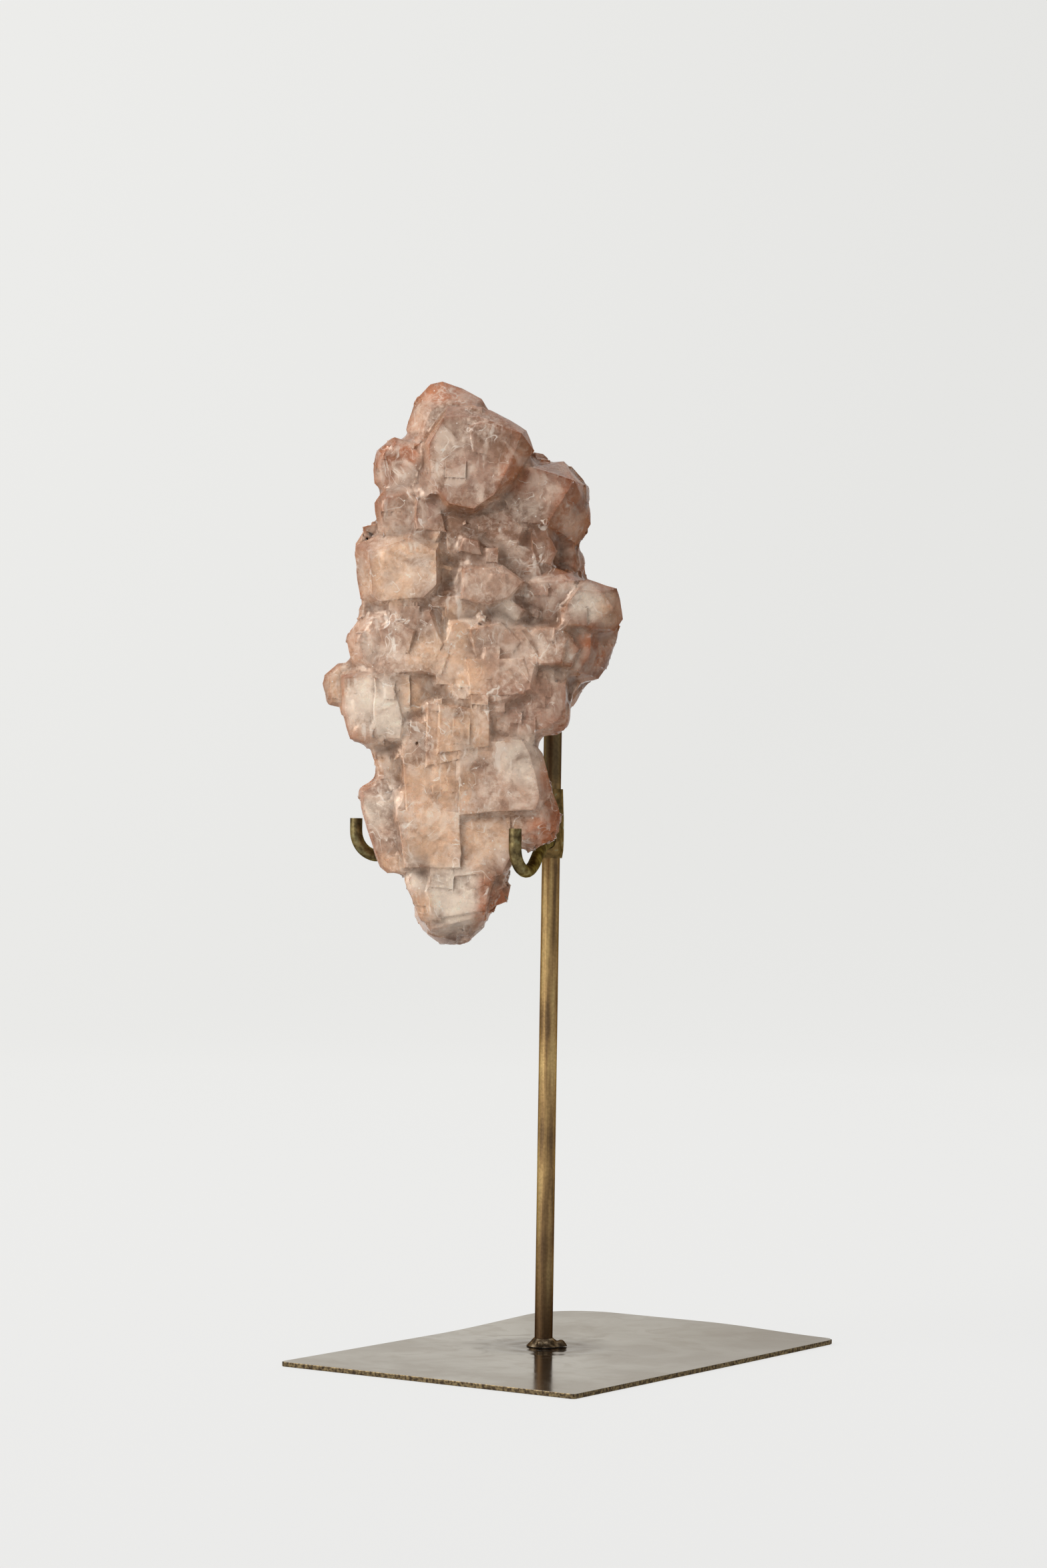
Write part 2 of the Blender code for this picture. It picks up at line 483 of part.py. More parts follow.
def back_blocks():
    """The side away from the front, and the ground between the crystals."""
    yield Block(
        [(-46, 300), (-43, 311), (-35, 314), (-27, 309), (-22, 298), (-27, 284), (-40, 283)], 44, 15, 4
    )
    yield Block([(-33, 300), (-20, 303), (-11, 297), (-10, 284), (-20, 276), (-34, 280)], 50, 20, 4)
    yield Block([(-56, 290), (-50, 295), (-38, 292), (-35, 276), (-46, 268), (-56, 277)], 48, 17, 3.5)
    yield Block([(-14, 286), (0, 289), (8, 281), (8, 271), (0, 264), (-15, 266)], 44, 13, 4)
    yield Block([(-59, 263), (-50, 269), (-37, 266), (-32, 253), (-40, 243), (-58, 248)], 50, 21, 3.5)
    yield Block(
        [(-40, 284), (-22, 286), (-8, 274), (-6, 250), (-20, 238), (-40, 244), (-46, 262)], 56, 9, 5
    )
    yield Block([(-10, 252), (4, 254), (16, 248), (18, 238), (10, 229), (-6, 232), (-14, 242)], 48, 6, 4)
    yield Block([(-5, 247), (5, 247), (6, 226), (-6, 226)], 30, POST_RADIUS + GAP, 1.2)
    yield Block([(-45, 262), (-24, 272), (-6, 262), (0, 244), (-8, 224), (-30, 216), (-48, 228)], 68, 30, 1)
    yield Block([(-22, 292), (-8, 290), (-6, 270), (-22, 270)], 62, 24, 2)
    yield Block([(-12, 244), (10, 243), (9, 221), (-12, 216)], 62, 24, 2)
    yield Block([(-44, 272), (-28, 272), (-28, 256), (-44, 256)], 67, 30, 1)
    yield Block([(-6, 268), (6, 266), (8, 256), (0, 250), (-8, 250)], 57, 24, 1)
    yield Block([(-24, 213), (-12, 213), (-12, 198), (-24, 198)], 68.5, 30, 1)
    yield Block([(-6, 233), (7, 233), (9, 222), (-6, 220)], 66, 30, 1)
    yield Block([(-47, 221), (-29, 221), (-29, 207), (-47, 207)], 69.5, 30, 1)
    yield Block([(-61, 236), (-50, 243), (-36, 240), (-30, 228), (-38, 216), (-58, 219)], 50, 16, 4)
    yield Block([(-68, 220), (-56, 222), (-46, 214), (-48, 203), (-62, 203)], 52, 23, 3)
    yield Block(
        [(-36, 240), (-14, 240), (-4, 226), (-6, 208), (-22, 198), (-40, 205), (-44, 224)], 68, 12, 4.5
    )
    yield Block([(-12, 232), (3, 232), (11, 222), (3, 207), (-10, 205), (-16, 218)], 46, 11, 3)
    yield Block([(-55, 206), (-42, 212), (-28, 206), (-24, 190), (-34, 180), (-50, 184)], 66, 22, 3.5)
    yield Block([(-30, 206), (-12, 204), (-5, 194), (-6, 180), (-16, 173), (-32, 176)], 66, 14, 3.5)
    yield Block([(-50, 196), (-30, 200), (-8, 192), (-10, 172), (-28, 168), (-48, 170)], 66, 31, 3)
    yield Block([(-45, 170), (-30, 174), (-17, 168), (-18, 152), (-28, 142), (-40, 146)], 66, 34, 2.5)
    yield Block([(-37, 166), (-24, 168), (-18, 156), (-24, 143), (-35, 141)], 48, 27, 2.5)


def placed(corners, depth, tilt=(0, 0)):
    """The corners at this depth, in the cluster's own axes."""
    middle = centre_of(corners)
    for across, z in corners:
        at = depth + tilt[0] * (across - middle[0]) + tilt[1] * (z - middle[1])
        scale = 1 - (at - TRUE_DEPTH) / SIGHT_DISTANCE
        yield across * scale + (1 - scale) * SIGHT_ACROSS, -at, z * scale + (1 - scale) * SIGHT_Z


def crystal(bm, block):
    """The convex hull of a block's four rings of corners, which narrow toward the back."""
    narrowing = TAPER * (block.front - block.back)
    rings = (
        placed(block.face, block.front, block.tilt),
        placed(block.outline, block.front - block.drop, block.tilt),
        placed(drawn_in(block.outline, narrowing), block.back + block.chamfer),
        placed(drawn_in(block.outline, narrowing + block.chamfer), block.back),
    )
    corners = [bm.verts.new(place) for ring in rings for place in ring]
    hull = bmesh.ops.convex_hull(bm, input=corners)
    inside = set(hull["geom_interior"] + hull["geom_unused"])
    loose = [item for item in inside if isinstance(item, bmesh.types.BMVert)]
    bmesh.ops.delete(bm, geom=loose, context="VERTS")


def crystals(blocks):
    def fill(bm):
        for block in blocks:
            crystal(bm, block)
        bmesh.ops.dissolve_limit(bm, angle_limit=math.radians(1), verts=bm.verts, edges=bm.edges)

    return fill


def build_cluster(axis):
    axes = empty("cluster_axes", turn=FACING, parent=axis)
    first, *others = [*back_blocks(), *side_blocks(), *lower_blocks(), *middle_blocks(), *top_blocks()]
    cluster = mesh_object("specimen", crystals([first]), axes)
    joined = helper(mesh_object("other_crystals", crystals(others), axes))
    boolean(cluster, joined, "UNION")
    calcite = material("calcite", (0.56, 0.38, 0.29), 0.25, transmission=0.4)
    cluster.data.materials.append(calcite)


for leftover in list(bpy.data.objects):
    bpy.data.objects.remove(leftover, do_unlink=True)
build_cluster(build_stand())
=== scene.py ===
# %% [markdown]
# # A calcite specimen on its brass stand
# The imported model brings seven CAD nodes: a faceted solid for the crystal cluster, and the plate, post,
# two hooks and two brazed joints of the stand. This lesson grows a finer skin over the cluster's blocks,
# and puts a bent sheet, two swept wires and a lumpy bead in place of the plate, the hooks and the foot's
# braze. The post and the braze that holds the hooks keep their solids and only get a material.

import math

import bmesh
import bpy
import numpy as np
from mathutils import Matrix, Vector


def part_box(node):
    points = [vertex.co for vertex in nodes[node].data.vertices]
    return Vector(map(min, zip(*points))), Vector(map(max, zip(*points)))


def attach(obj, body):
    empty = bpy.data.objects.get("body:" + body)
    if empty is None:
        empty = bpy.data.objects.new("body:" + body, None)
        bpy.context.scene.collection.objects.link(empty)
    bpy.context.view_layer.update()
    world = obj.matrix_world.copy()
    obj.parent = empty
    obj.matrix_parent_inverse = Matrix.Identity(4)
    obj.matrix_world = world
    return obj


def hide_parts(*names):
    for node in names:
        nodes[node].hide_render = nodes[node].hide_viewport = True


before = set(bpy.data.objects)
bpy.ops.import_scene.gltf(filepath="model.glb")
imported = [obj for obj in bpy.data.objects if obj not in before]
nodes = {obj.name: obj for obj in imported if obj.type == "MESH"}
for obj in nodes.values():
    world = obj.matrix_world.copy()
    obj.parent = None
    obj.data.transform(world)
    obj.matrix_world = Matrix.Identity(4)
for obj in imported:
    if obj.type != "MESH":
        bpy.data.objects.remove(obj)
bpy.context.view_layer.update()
MM = 0.001
print("nodes:", sorted(nodes))

# %% [markdown]
# ## Camera
# The stand is seen at the height of its middle, turned about 34 degrees from the plate's front edge, with
# an 85 mm lens on a full-frame camera held upright. The camera leans by less than one degree.

# %% Camera
FACING = math.radians(33.58)
CAMERA_DROP = math.radians(-1.03)
CAMERA_ROLL = math.radians(0.89)
CAMERA_DISTANCE = 1226.9 * MM
AIM_ACROSS, AIM_HEIGHT = -17.3 * MM, 188.4 * MM

to_camera = Vector(
    (
        math.sin(FACING) * math.cos(CAMERA_DROP),
        -math.cos(FACING) * math.cos(CAMERA_DROP),
        math.sin(CAMERA_DROP),
    )
)
FRONT = np.array([math.sin(FACING), -math.cos(FACING), 0.0])  # level, from the stand toward the camera
RIGHT = np.array([math.cos(FACING), math.sin(FACING), 0.0])
ahead, rightward = Vector(FRONT), Vector(RIGHT)
upward = to_camera.cross(rightward)
aim = rightward * AIM_ACROSS + Vector((0, 0, AIM_HEIGHT))


def add_object(name, data):
    """A new object in the scene with this camera, light, curve or mesh as its data."""
    obj = bpy.data.objects.new(name, data)
    bpy.context.scene.collection.objects.link(obj)
    return obj


def add_camera():
    data = bpy.data.cameras.new("camera")
    data.sensor_fit = "VERTICAL"
    data.sensor_height = 36
    data.lens = 85  # both in mm
    camera = add_object("camera", data)
    turn = Matrix((rightward, upward, to_camera)).transposed().to_4x4()
    roll = Matrix.Rotation(CAMERA_ROLL, 4, "Z")
    camera.matrix_world = Matrix.Translation(aim + to_camera * CAMERA_DISTANCE) @ turn @ roll
    bpy.context.scene.camera = camera
    return camera


camera = add_camera()
print("camera at", [round(value, 3) for value in camera.matrix_world.translation])

# %% [markdown]
# ## Nodes and colours
# Four small helpers serve every material: one turns a written colour into the linear values that shaders
# use, one adds a node with its settings and links, one makes a material from the recipe for its surface,
# and one turns the size of a feature in millimetres into a texture's scale.


# %% Helpers for materials
def linear(hex_colour):
    """The linear RGBA of an sRGB colour written as #rrggbb."""
    channels = [int(hex_colour[place : place + 2], 16) / 255 for place in (1, 3, 5)]
    bent = [c / 12.92 if c <= 0.04045 else ((c + 0.055) / 1.055) ** 2.4 for c in channels]
    return (*bent, 1.0)


def add(tree, kind, links=None, stops=(), **settings):
    """A node of this kind. Settings are its own properties and stops are a ramp's (place, colour) pairs.
    Links are its inputs by name or number: each is a socket, a value or a colour written as #rrggbb."""
    node = tree.nodes.new(kind)
    for name, value in settings.items():
        setattr(node, name, value)
    for name, value in (links or {}).items():
        socket = node.inputs[name]
        if isinstance(value, bpy.types.NodeSocket):
            tree.links.new(value, socket)
        else:
            socket.default_value = linear(value) if isinstance(value, str) and value[0] == "#" else value
    for number, (place, colour) in enumerate(stops):
        stop = node.color_ramp.elements[number] if number < 2 else node.color_ramp.elements.new(place)
        stop.position = place
        stop.color = linear(colour)
    return node


def new_material(name, recipe, absorption=None):
    """A material whose shader takes the inputs that the recipe works out, from the tree and the object's
    own coordinates. What its inside absorbs, if anything, is given apart."""
    made = bpy.data.materials.new(name)
    made.use_nodes = True
    tree = made.node_tree
    tree.nodes.clear()
    place = add(tree, "ShaderNodeTexCoord").outputs["Object"]
    outlets = {"Surface": add(tree, "ShaderNodeBsdfPrincipled", recipe(tree, place)).outputs["BSDF"]}
    if absorption:
        outlets["Volume"] = add(tree, "ShaderNodeVolumeAbsorption", absorption).outputs["Volume"]
    add(tree, "ShaderNodeOutputMaterial", outlets)
    return made


def per(size):
    """A texture's scale for features of this size in millimetres."""
    return 1 / (size * MM)


print("linear mid grey:", [round(value, 3) for value in linear("#808080")])

# %% [markdown]
# ## The stage
# The stand is in a wide white bowl, a floor that curves up into a wall all around, so every side has the
# same plain background without a horizon. Most of its brightness is its own, as on an overexposed paper
# sweep, and hides nearly all shadow. The paper is a little dimmer to the front right, as in a room with a
# window on the left, so that the crystals and the rod have a darker side. The bowl isn't part of the object.


# %% Floor and wall
BOWL_REACH = 2.8  # metres from the stand to the wall
BRIGHT_SIDE = -(0.75 * rightward + 0.65 * ahead)


def white_paper(tree, place):
    sideways = {0: place, 1: BRIGHT_SIDE / BOWL_REACH}
    toward = add(tree, "ShaderNodeVectorMath", sideways, operation="DOT_PRODUCT")
    side = add(tree, "ShaderNodeMapRange", {0: toward.outputs["Value"], 1: -0.75, 2: 0.85}).outputs[0]
    # From the dimmer front right, over the floor by the stand, to the wall behind it and its bright left
    stops = ((0.0, "#a9a9a8"), (0.40, "#dededd"), (0.78, "#e1e1df"), (0.97, "#e8e8e6"))
    glow = add(tree, "ShaderNodeValToRGB", {"Fac": side}, stops=stops).outputs["Color"]
    return {"Base Color": "#2f2e2d", "Roughness": 0.95, "Emission Color": glow, "Emission Strength": 1.0}


def made_mesh(name, bm):
    mesh = bpy.data.meshes.new(name)
    bm.to_mesh(mesh)
    bm.free()
    return mesh


def add_bowl():
    reach, height, bend, sides = BOWL_REACH, 2.6, 1.2, 96
    profile = [(0.0, 0.0), (0.6, 0.0), (reach - bend, 0.0)]
    steps = 12
    for step in range(1, steps + 1):
        angle = math.pi / 2 * step / steps
        profile.append((reach - bend + bend * math.sin(angle), bend - bend * math.cos(angle)))
    profile.append((reach, height))
    bm = bmesh.new()
    points = [bm.verts.new((radius, 0, z)) for radius, z in profile]
    edges = [bm.edges.new(pair) for pair in zip(points, points[1:])]
    turning = {"cent": (0, 0, 0), "axis": (0, 0, 1), "angle": math.tau, "steps": sides}
    bmesh.ops.spin(bm, geom=points + edges, **turning, use_merge=True)
    bmesh.ops.remove_doubles(bm, verts=bm.verts, dist=0.1 * MM)
    bmesh.ops.recalc_face_normals(bm, faces=bm.faces)
    mesh = made_mesh("bowl", bm)
    mesh.shade_smooth()
    mesh.materials.append(new_material("white paper sweep", white_paper))
    bowl = add_object("bowl", mesh)
    return bowl


bowl = add_bowl()
print("bowl:", len(bowl.data.polygons), "faces")


# %% Soft lights
AIMED_AT = Vector((0, 0, 200 * MM))  # the lower half of the cluster


def area_light(name, across, toward, height, size, power):
    """A soft light placed across and toward the camera, aimed at the cluster."""
    data = bpy.data.lights.new(name, "AREA")
    data.shape = "RECTANGLE"
    data.size, data.size_y = size
    data.energy = power
    light = add_object(name, data)
    place = rightward * across + ahead * toward + Vector((0, 0, height))
    light.location = place
    light.rotation_euler = (place - AIMED_AT).to_track_quat("Z", "Y").to_euler()
    return light


def add_world(brightness):
    world = bpy.data.worlds.new("studio")
    bpy.context.scene.world = world
    world.use_nodes = True
    background = world.node_tree.nodes["Background"]
    background.inputs["Color"].default_value = linear("#f7f8fa")
    background.inputs["Strength"].default_value = brightness


# Places and sizes are in metres and the power is in watts
area_light("window left", across=-1.5, toward=0.9, height=1.1, size=(1.0, 1.0), power=43)
area_light("overhead", across=0.0, toward=-0.2, height=1.8, size=(2.6, 2.6), power=21)
add_world(0.3)
bpy.context.scene.view_settings.view_transform = "Standard"
print("lights:", [light.name for light in bpy.data.lights])

# %% [markdown]
# ## The cluster's own axes
# The crystals share one orientation. Work on them is done in the cluster's axes: `across` to its right,
# `depth` to its front and `z` up, in millimetres from the foot of the post.

# %% Axes of the cluster
post_low, post_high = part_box("post")
POST_AXIS = Vector(((post_low.x + post_high.x) / 2, (post_low.y + post_high.y) / 2, 0))
AXES = np.stack([RIGHT, FRONT, (0.0, 0.0, 1.0)])


def to_cluster(points):
    """Row frame metres to the cluster's axes in millimetres."""
    return (points - np.array(POST_AXIS)) @ AXES.T / MM


def from_cluster(points):
    return points * MM @ AXES + np.array(POST_AXIS)


print("the cluster's front is towards", FRONT.round(3))

# %% [markdown]
# ## Growing the skin
# The CAD solid has the right blocks with perfectly flat faces. Natural calcite shows low growth steps,
# small crystals in its hollows and worn edges. A subdivided solid with a displacement texture would keep
# the hard creases between blocks, so the blocks are copied, the creases are filled, small crystals are
# joined on with booleans, and a remesh that keeps edges makes one skin, which is then warped and worn.


# %% A welded copy of the blocks
def welded_copy(node, name):
    bm = bmesh.new()
    bm.from_mesh(nodes[node].data)
    bmesh.ops.remove_doubles(bm, verts=bm.verts, dist=0.001 * MM)
    return add_object(name, made_mesh(name, bm))


def evaluated_mesh(obj):
    """The mesh that the object's curve or modifiers make."""
    graph = bpy.context.evaluated_depsgraph_get()
    return bpy.data.meshes.new_from_object(obj.evaluated_get(graph), depsgraph=graph)


def applied(obj):
    """The object with its modifiers made real."""
    mesh = evaluated_mesh(obj)
    obj.modifiers.clear()
    old = obj.data
    obj.data = mesh
    bpy.data.meshes.remove(old)
    mesh.name = obj.name
    return obj


def modified(obj, kind, **settings):
    """The object after one modifier of this kind, with these settings of its own."""
    modifier = obj.modifiers.new(kind.lower(), kind)
    for name, value in settings.items():
        setattr(modifier, name, value)
    return applied(obj)


def one_skin(obj, voxel):
    """Everything in the object joined to one closed skin of even points."""
    return modified(obj, "REMESH", mode="VOXEL", voxel_size=voxel * MM, adaptivity=0.0)


cluster = welded_copy("specimen", "calcite_cluster")
print("blocks:", len(cluster.data.polygons), "faces")


# %% Reading and averaging over a mesh
def read_points(mesh):
    points = np.empty(len(mesh.vertices) * 3)
    mesh.vertices.foreach_get("co", points)
    return points.reshape(-1, 3)


def write_points(mesh, points):
    mesh.vertices.foreach_set("co", points.ravel())
    mesh.update()


def read_normals(mesh):
    normals = np.empty(len(mesh.vertices) * 3, np.float32)
    mesh.vertex_normals.foreach_get("vector", normals)
    return normals.reshape(-1, 3).astype(float)


def blurred(mesh, values, rounds):
    """Values averaged again and again with those of each point's neighbours."""
    edges = np.empty(len(mesh.edges) * 2, np.int64)
    mesh.edges.foreach_get("vertices", edges)
    edges = edges.reshape(-1, 2)
    values = np.array(values, float).reshape(len(mesh.vertices), -1)
    count = np.bincount(edges.ravel(), minlength=len(values))[:, None] + 1.0
    for _ in range(rounds):
        total = values.copy()
        for column in range(values.shape[1]):
            total[:, column] += np.bincount(edges[:, 0], values[edges[:, 1], column], len(values))
            total[:, column] += np.bincount(edges[:, 1], values[edges[:, 0], column], len(values))
        values = total / count
    return values


def hollowness(mesh, rounds):
    """How far, in mm, each point lies below the average of its surroundings."""
    points = read_points(mesh)
    around = blurred(mesh, points, rounds)
    return np.einsum("ij,ij->i", around - points, read_normals(mesh)) / MM


def write_attribute(mesh, name, values):
    layer = mesh.attributes.new(name, "FLOAT", "POINT")
    layer.data.foreach_set("value", np.ascontiguousarray(values, np.float32))


print("hollowness of the blocks:", hollowness(cluster.data, 1).round(1)[:5], "mm and so on")

# %% [markdown]
# ## Filling the creases
# Between the blocks of the CAD solid are creases deeper than a natural cluster shows, because new calcite
# grows into them. A coarse skin is swollen, so that narrow creases close, and drawn back by a little more,
# so that it only shows at their bottoms. The same skin tells the small crystals where they may grow.


# %% Crease filler
def drawn_skin(source, name, swell, draw_back, voxel=1.2):
    """A coarse skin over a solid, swollen and then drawn back, both in mm."""
    skin = one_skin(add_object(name, source.data.copy()), voxel)
    write_points(skin.data, read_points(skin.data) + read_normals(skin.data) * swell * MM)
    one_skin(skin, voxel)
    ways = blurred(skin.data, read_normals(skin.data), 2)
    ways /= np.linalg.norm(ways, axis=1, keepdims=True)
    write_points(skin.data, read_points(skin.data) - ways * draw_back * MM)
    return one_skin(skin, voxel)


def growth_guides(mesh):
    """hollow: depth in a crease. face: height of an open face to the front or back. flank: other faces."""
    hollow = blurred(mesh, hollowness(mesh, 12), 3)[:, 0]
    toward = np.abs(blurred(mesh, read_normals(mesh), 2) @ FRONT)
    open_place = hollow < 0.2
    height = to_cluster(read_points(mesh))[:, 2]
    write_attribute(mesh, "hollow", hollow)
    write_attribute(mesh, "face", np.where(open_place & (toward > 0.8), height, -1))
    write_attribute(mesh, "flank", np.where(open_place & (toward < 0.6), 1, 0))
    print("guides on", mesh.name, "hollow", np.percentile(hollow, [5, 50, 95]).round(2))


filler = drawn_skin(cluster, "crease_filler", swell=2.0, draw_back=2.7)
growth_guides(filler.data)

# %% [markdown]
# ## Small crystals
# Calcite crystals of one cluster often share an orientation, so the small ones are rhombs turned the same
# way with a little scatter. They repeat, so Geometry Nodes place them: stout ones in the hollows between
# the large crystals, and flat ones on the open faces, where they make growth terraces. The tree joins
# them to the blocks with its own boolean, which keeps every edge crisp. A skin close outside the blocks
# then trims what stands too proud, so a terrace is about half a millimetre high.


# %% The tree that grows rhombs
def rhomb_tree():
    tree = bpy.data.node_groups.new("small rhombs", "GeometryNodeTree")
    kinds = {"Geometry": "Geometry", "Ground": "Object", "Per square metre": "Float", "Follows": "String"}
    kinds |= {"Least": "Float", "Most": "Float", "Smallest": "Vector", "Largest": "Vector"}
    kinds |= {"Scatter": "Float", "Seed": "Int", "Material": "Material"}
    for name, kind in kinds.items():
        tree.interface.new_socket(name, in_out="INPUT", socket_type="NodeSocket" + kind)
    tree.interface.new_socket("Geometry", in_out="OUTPUT", socket_type="NodeSocketGeometry")
    given = add(tree, "NodeGroupInput").outputs
    ground = add(tree, "GeometryNodeObjectInfo", {"Object": given["Ground"]}).outputs["Geometry"]
    follows = {"Name": given["Follows"]}
    guide = add(tree, "GeometryNodeInputNamedAttribute", follows, data_type="FLOAT").outputs[0]
    enough = add(tree, "FunctionNodeCompare", {0: guide, 1: given["Least"]}, operation="GREATER_THAN")
    not_more = add(tree, "FunctionNodeCompare", {0: guide, 1: given["Most"]}, operation="LESS_THAN")
    both = add(tree, "FunctionNodeBooleanMath", {0: enough.outputs[0], 1: not_more.outputs[0]})
    scattering = {"Mesh": ground, "Selection": both.outputs[0], "Density": given["Per square metre"]}
    spots = add(tree, "GeometryNodeDistributePointsOnFaces", scattering | {"Seed": given["Seed"]})
    cube = add(tree, "GeometryNodeMeshCube", {"Size": (1.0, 1.0, 1.0)})
    drawn = []
    for least, most in ((given["Smallest"], given["Largest"]), ((-1.0, -1.0, -1.0), (1.0, 1.0, 1.0))):
        ends = {0: least, 1: most, "Seed": given["Seed"]}
        drawn.append(add(tree, "FunctionNodeRandomValue", ends, data_type="FLOAT_VECTOR").outputs[0])
    size, lean = drawn
    scattered = {0: lean, "Scale": given["Scatter"]}
    leaning = add(tree, "ShaderNodeVectorMath", scattered, operation="SCALE").outputs[0]
    turned = {0: leaning, 1: (0.0, 0.0, FACING)}
    facing = add(tree, "ShaderNodeVectorMath", turned, operation="ADD").outputs[0]
    placing = {"Points": spots.outputs["Points"], "Instance": cube.outputs["Mesh"], "Rotation": facing}
    placed = add(tree, "GeometryNodeInstanceOnPoints", placing | {"Scale": size})
    union = add(tree, "GeometryNodeMeshBoolean", operation="UNION", solver="MANIFOLD")
    tree.links.new(given["Geometry"], union.inputs["Mesh 2"])
    tree.links.new(placed.outputs["Instances"], union.inputs["Mesh 2"])
    real = add(tree, "GeometryNodeRealizeInstances", {"Geometry": union.outputs["Mesh"]})
    dressing = {"Geometry": real.outputs[0], "Material": given["Material"]}
    dressed = add(tree, "GeometryNodeSetMaterial", dressing)
    add(tree, "NodeGroupOutput", {"Geometry": dressed.outputs[0]})
    return tree


RHOMBS = rhomb_tree()
print("inputs:", [item.name for item in RHOMBS.interface.items_tree if item.in_out == "INPUT"])


# %% Rhombs in the hollows, terraces on the faces
def grown(obj, values):
    """The object with rhombs grown on it, for these values of the tree's named inputs."""
    growth = obj.modifiers.new("rhombs", "NODES")
    growth.node_group = RHOMBS
    for item in RHOMBS.interface.items_tree:
        if item.in_out == "INPUT" and item.name in values:
            growth[item.identifier] = values[item.name]
    before = len(obj.data.polygons)
    applied(obj)
    print(obj.name, "grew from", before, "to", len(obj.data.polygons), "faces")
    return obj


def combined(obj, other, operation):
    return modified(obj, "BOOLEAN", operation=operation, solver="MANIFOLD", object=other)


# Each growth: the guide that it follows, from where to where, how many there are per square metre, the
# smallest and the largest size in mm, how far they are turned at random, and the seed
GROWTHS = (
    ("hollow", 0.3, 9.0, 20000.0, (1.2, 1.2, 1.2), (4.2, 3.6, 4.2), 0.35, 4),
    ("face", 130.0, 222.0, 7000.0, (3.0, 1.5, 3.0), (9.0, 2.6, 10.0), 0.05, 11),
    ("face", 222.0, 330.0, 2500.0, (3.0, 1.5, 3.0), (11.0, 2.4, 11.0), 0.05, 12),
    ("flank", 0.5, 2.0, 7000.0, (2.6, 2.6, 2.6), (7.0, 7.0, 8.0), 0.06, 13),
)
envelope = drawn_skin(cluster, "envelope", swell=2.0, draw_back=1.3)
combined(cluster, filler, "UNION")
for follows, least, most, many, smallest, largest, scatter, seed in GROWTHS:
    values = {"Ground": filler, "Follows": follows, "Least": least, "Most": most, "Per square metre": many}
    values |= {"Smallest": [size * MM for size in smallest], "Largest": [size * MM for size in largest]}
    grown(cluster, values | {"Scatter": scatter, "Seed": seed})
slot_filler = drawn_skin(cluster, "slot_filler", swell=0.9, draw_back=1.25, voxel=0.8)
combined(cluster, slot_filler, "UNION")
combined(cluster, envelope, "INTERSECT")
print("trimmed to", len(cluster.data.polygons), "faces")

# %% [markdown]
# ## Crystals set one by one
# A rule gives a cluster its texture, but not the few crystals that the eye knows it by. Five blocks are
# placed one by one: a broad one low on the right of the front, a column of three that steps down beside
# it, and one on the upper left edge. Each is a cube turned with the cluster, rolled a little and joined
# with a boolean.


# %% Crystals set one by one
# The middle of each, its width, thickness and height, all in mm, and its roll in degrees
HAND_SET = (
    ((-5.1, 60, 171.6), (11, 12, 8), 30),
    ((-16.2, 58, 158.0), (5.2, 8, 4.6), -12),
    ((-16.2, 58, 153.6), (5.6, 8, 5.2), -12),
    ((-20.2, 57, 149.4), (5.4, 8, 5.0), -20),
    ((-58.9, 60, 266.8), (5.6, 8, 5.2), 14),
)


def set_by_hand(middle, size, roll):
    """One block joined to the cluster, turned like the others and then rolled about the front axis."""
    bm = bmesh.new()
    bmesh.ops.create_cube(bm, size=1.0)
    turn = Matrix.Rotation(math.radians(-roll), 3, "Y")
    for vert in bm.verts:
        vert.co = turn @ (vert.co * Vector(size)) + Vector(middle)
    for vert in bm.verts:
        vert.co = Vector(from_cluster(np.array(vert.co)))
    bmesh.ops.recalc_face_normals(bm, faces=bm.faces)
    mesh = made_mesh("block", bm)
    combined(cluster, add_object("block", mesh), "UNION")
    bpy.data.meshes.remove(mesh)


for crystal in HAND_SET:
    set_by_hand(*crystal)
print("set by hand:", len(HAND_SET))

# %% [markdown]
# ## One worn skin
# A remesh in its sharp mode turns the joined crystals into even small faces and keeps their edges. The
# skin is then warped a little, so that its front is slightly domed and no edge runs dead straight, and worn
# where it stands proud. Noise from hashed cells gives the same skin at every run.


# %% Even faces that keep their edges
specimen_low, specimen_high = (np.array(corner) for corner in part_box("specimen"))
for helper in (filler, envelope, slot_filler):
    bpy.data.meshes.remove(helper.data)
# An octree of depth 8 has 2**8 cells a side, and the cluster takes up 0.95 of it
octree = {"octree_depth": 8, "scale": 0.95, "threshold": 0.5, "use_remove_disconnected": True}
modified(cluster, "REMESH", mode="SHARP", **octree)
print("skin:", len(cluster.data.vertices), "points")


# %% Noise made of hashed cells
def hashed(cells, seed):
    """A repeatable random value from 0 to 1 for each whole-numbered cell."""
    x, y, z = (cells[..., axis].astype(np.int64) for axis in range(3))
    mixed = (x * 73856093) ^ (y * 19349663) ^ (z * 83492791) ^ (seed * 2654435761)
    mixed = (mixed ^ (mixed >> 13)) * 1274126177
    return ((mixed ^ (mixed >> 16)) & 0xFFFF) / 65535.0


def smooth_noise(points, size, seed):
    """Values from -1 to 1 that vary smoothly over this size in millimetres."""
    scaled = points / size
    low = np.floor(scaled)
    part = scaled - low
    part = part * part * (3 - 2 * part)
    total = np.zeros(len(points))
    for corner in np.ndindex(2, 2, 2):
        weight = np.prod(np.where(np.array(corner) == 1, part, 1 - part), axis=1)
        total += weight * hashed(low + np.array(corner), seed)
    return total * 2 - 1


def cloudy(points, size, seed, octaves=3):
    layers = [smooth_noise(points, size / 2**n, seed + n) / 2**n for n in range(octaves)]
    return sum(layers) / (2 - 2 ** (1 - octaves))


def wandering(points, size, seed):
    """Three noises side by side, to move a point along each axis."""
    return np.stack([smooth_noise(points, size, seed + 17 * axis) for axis in range(3)], axis=1)


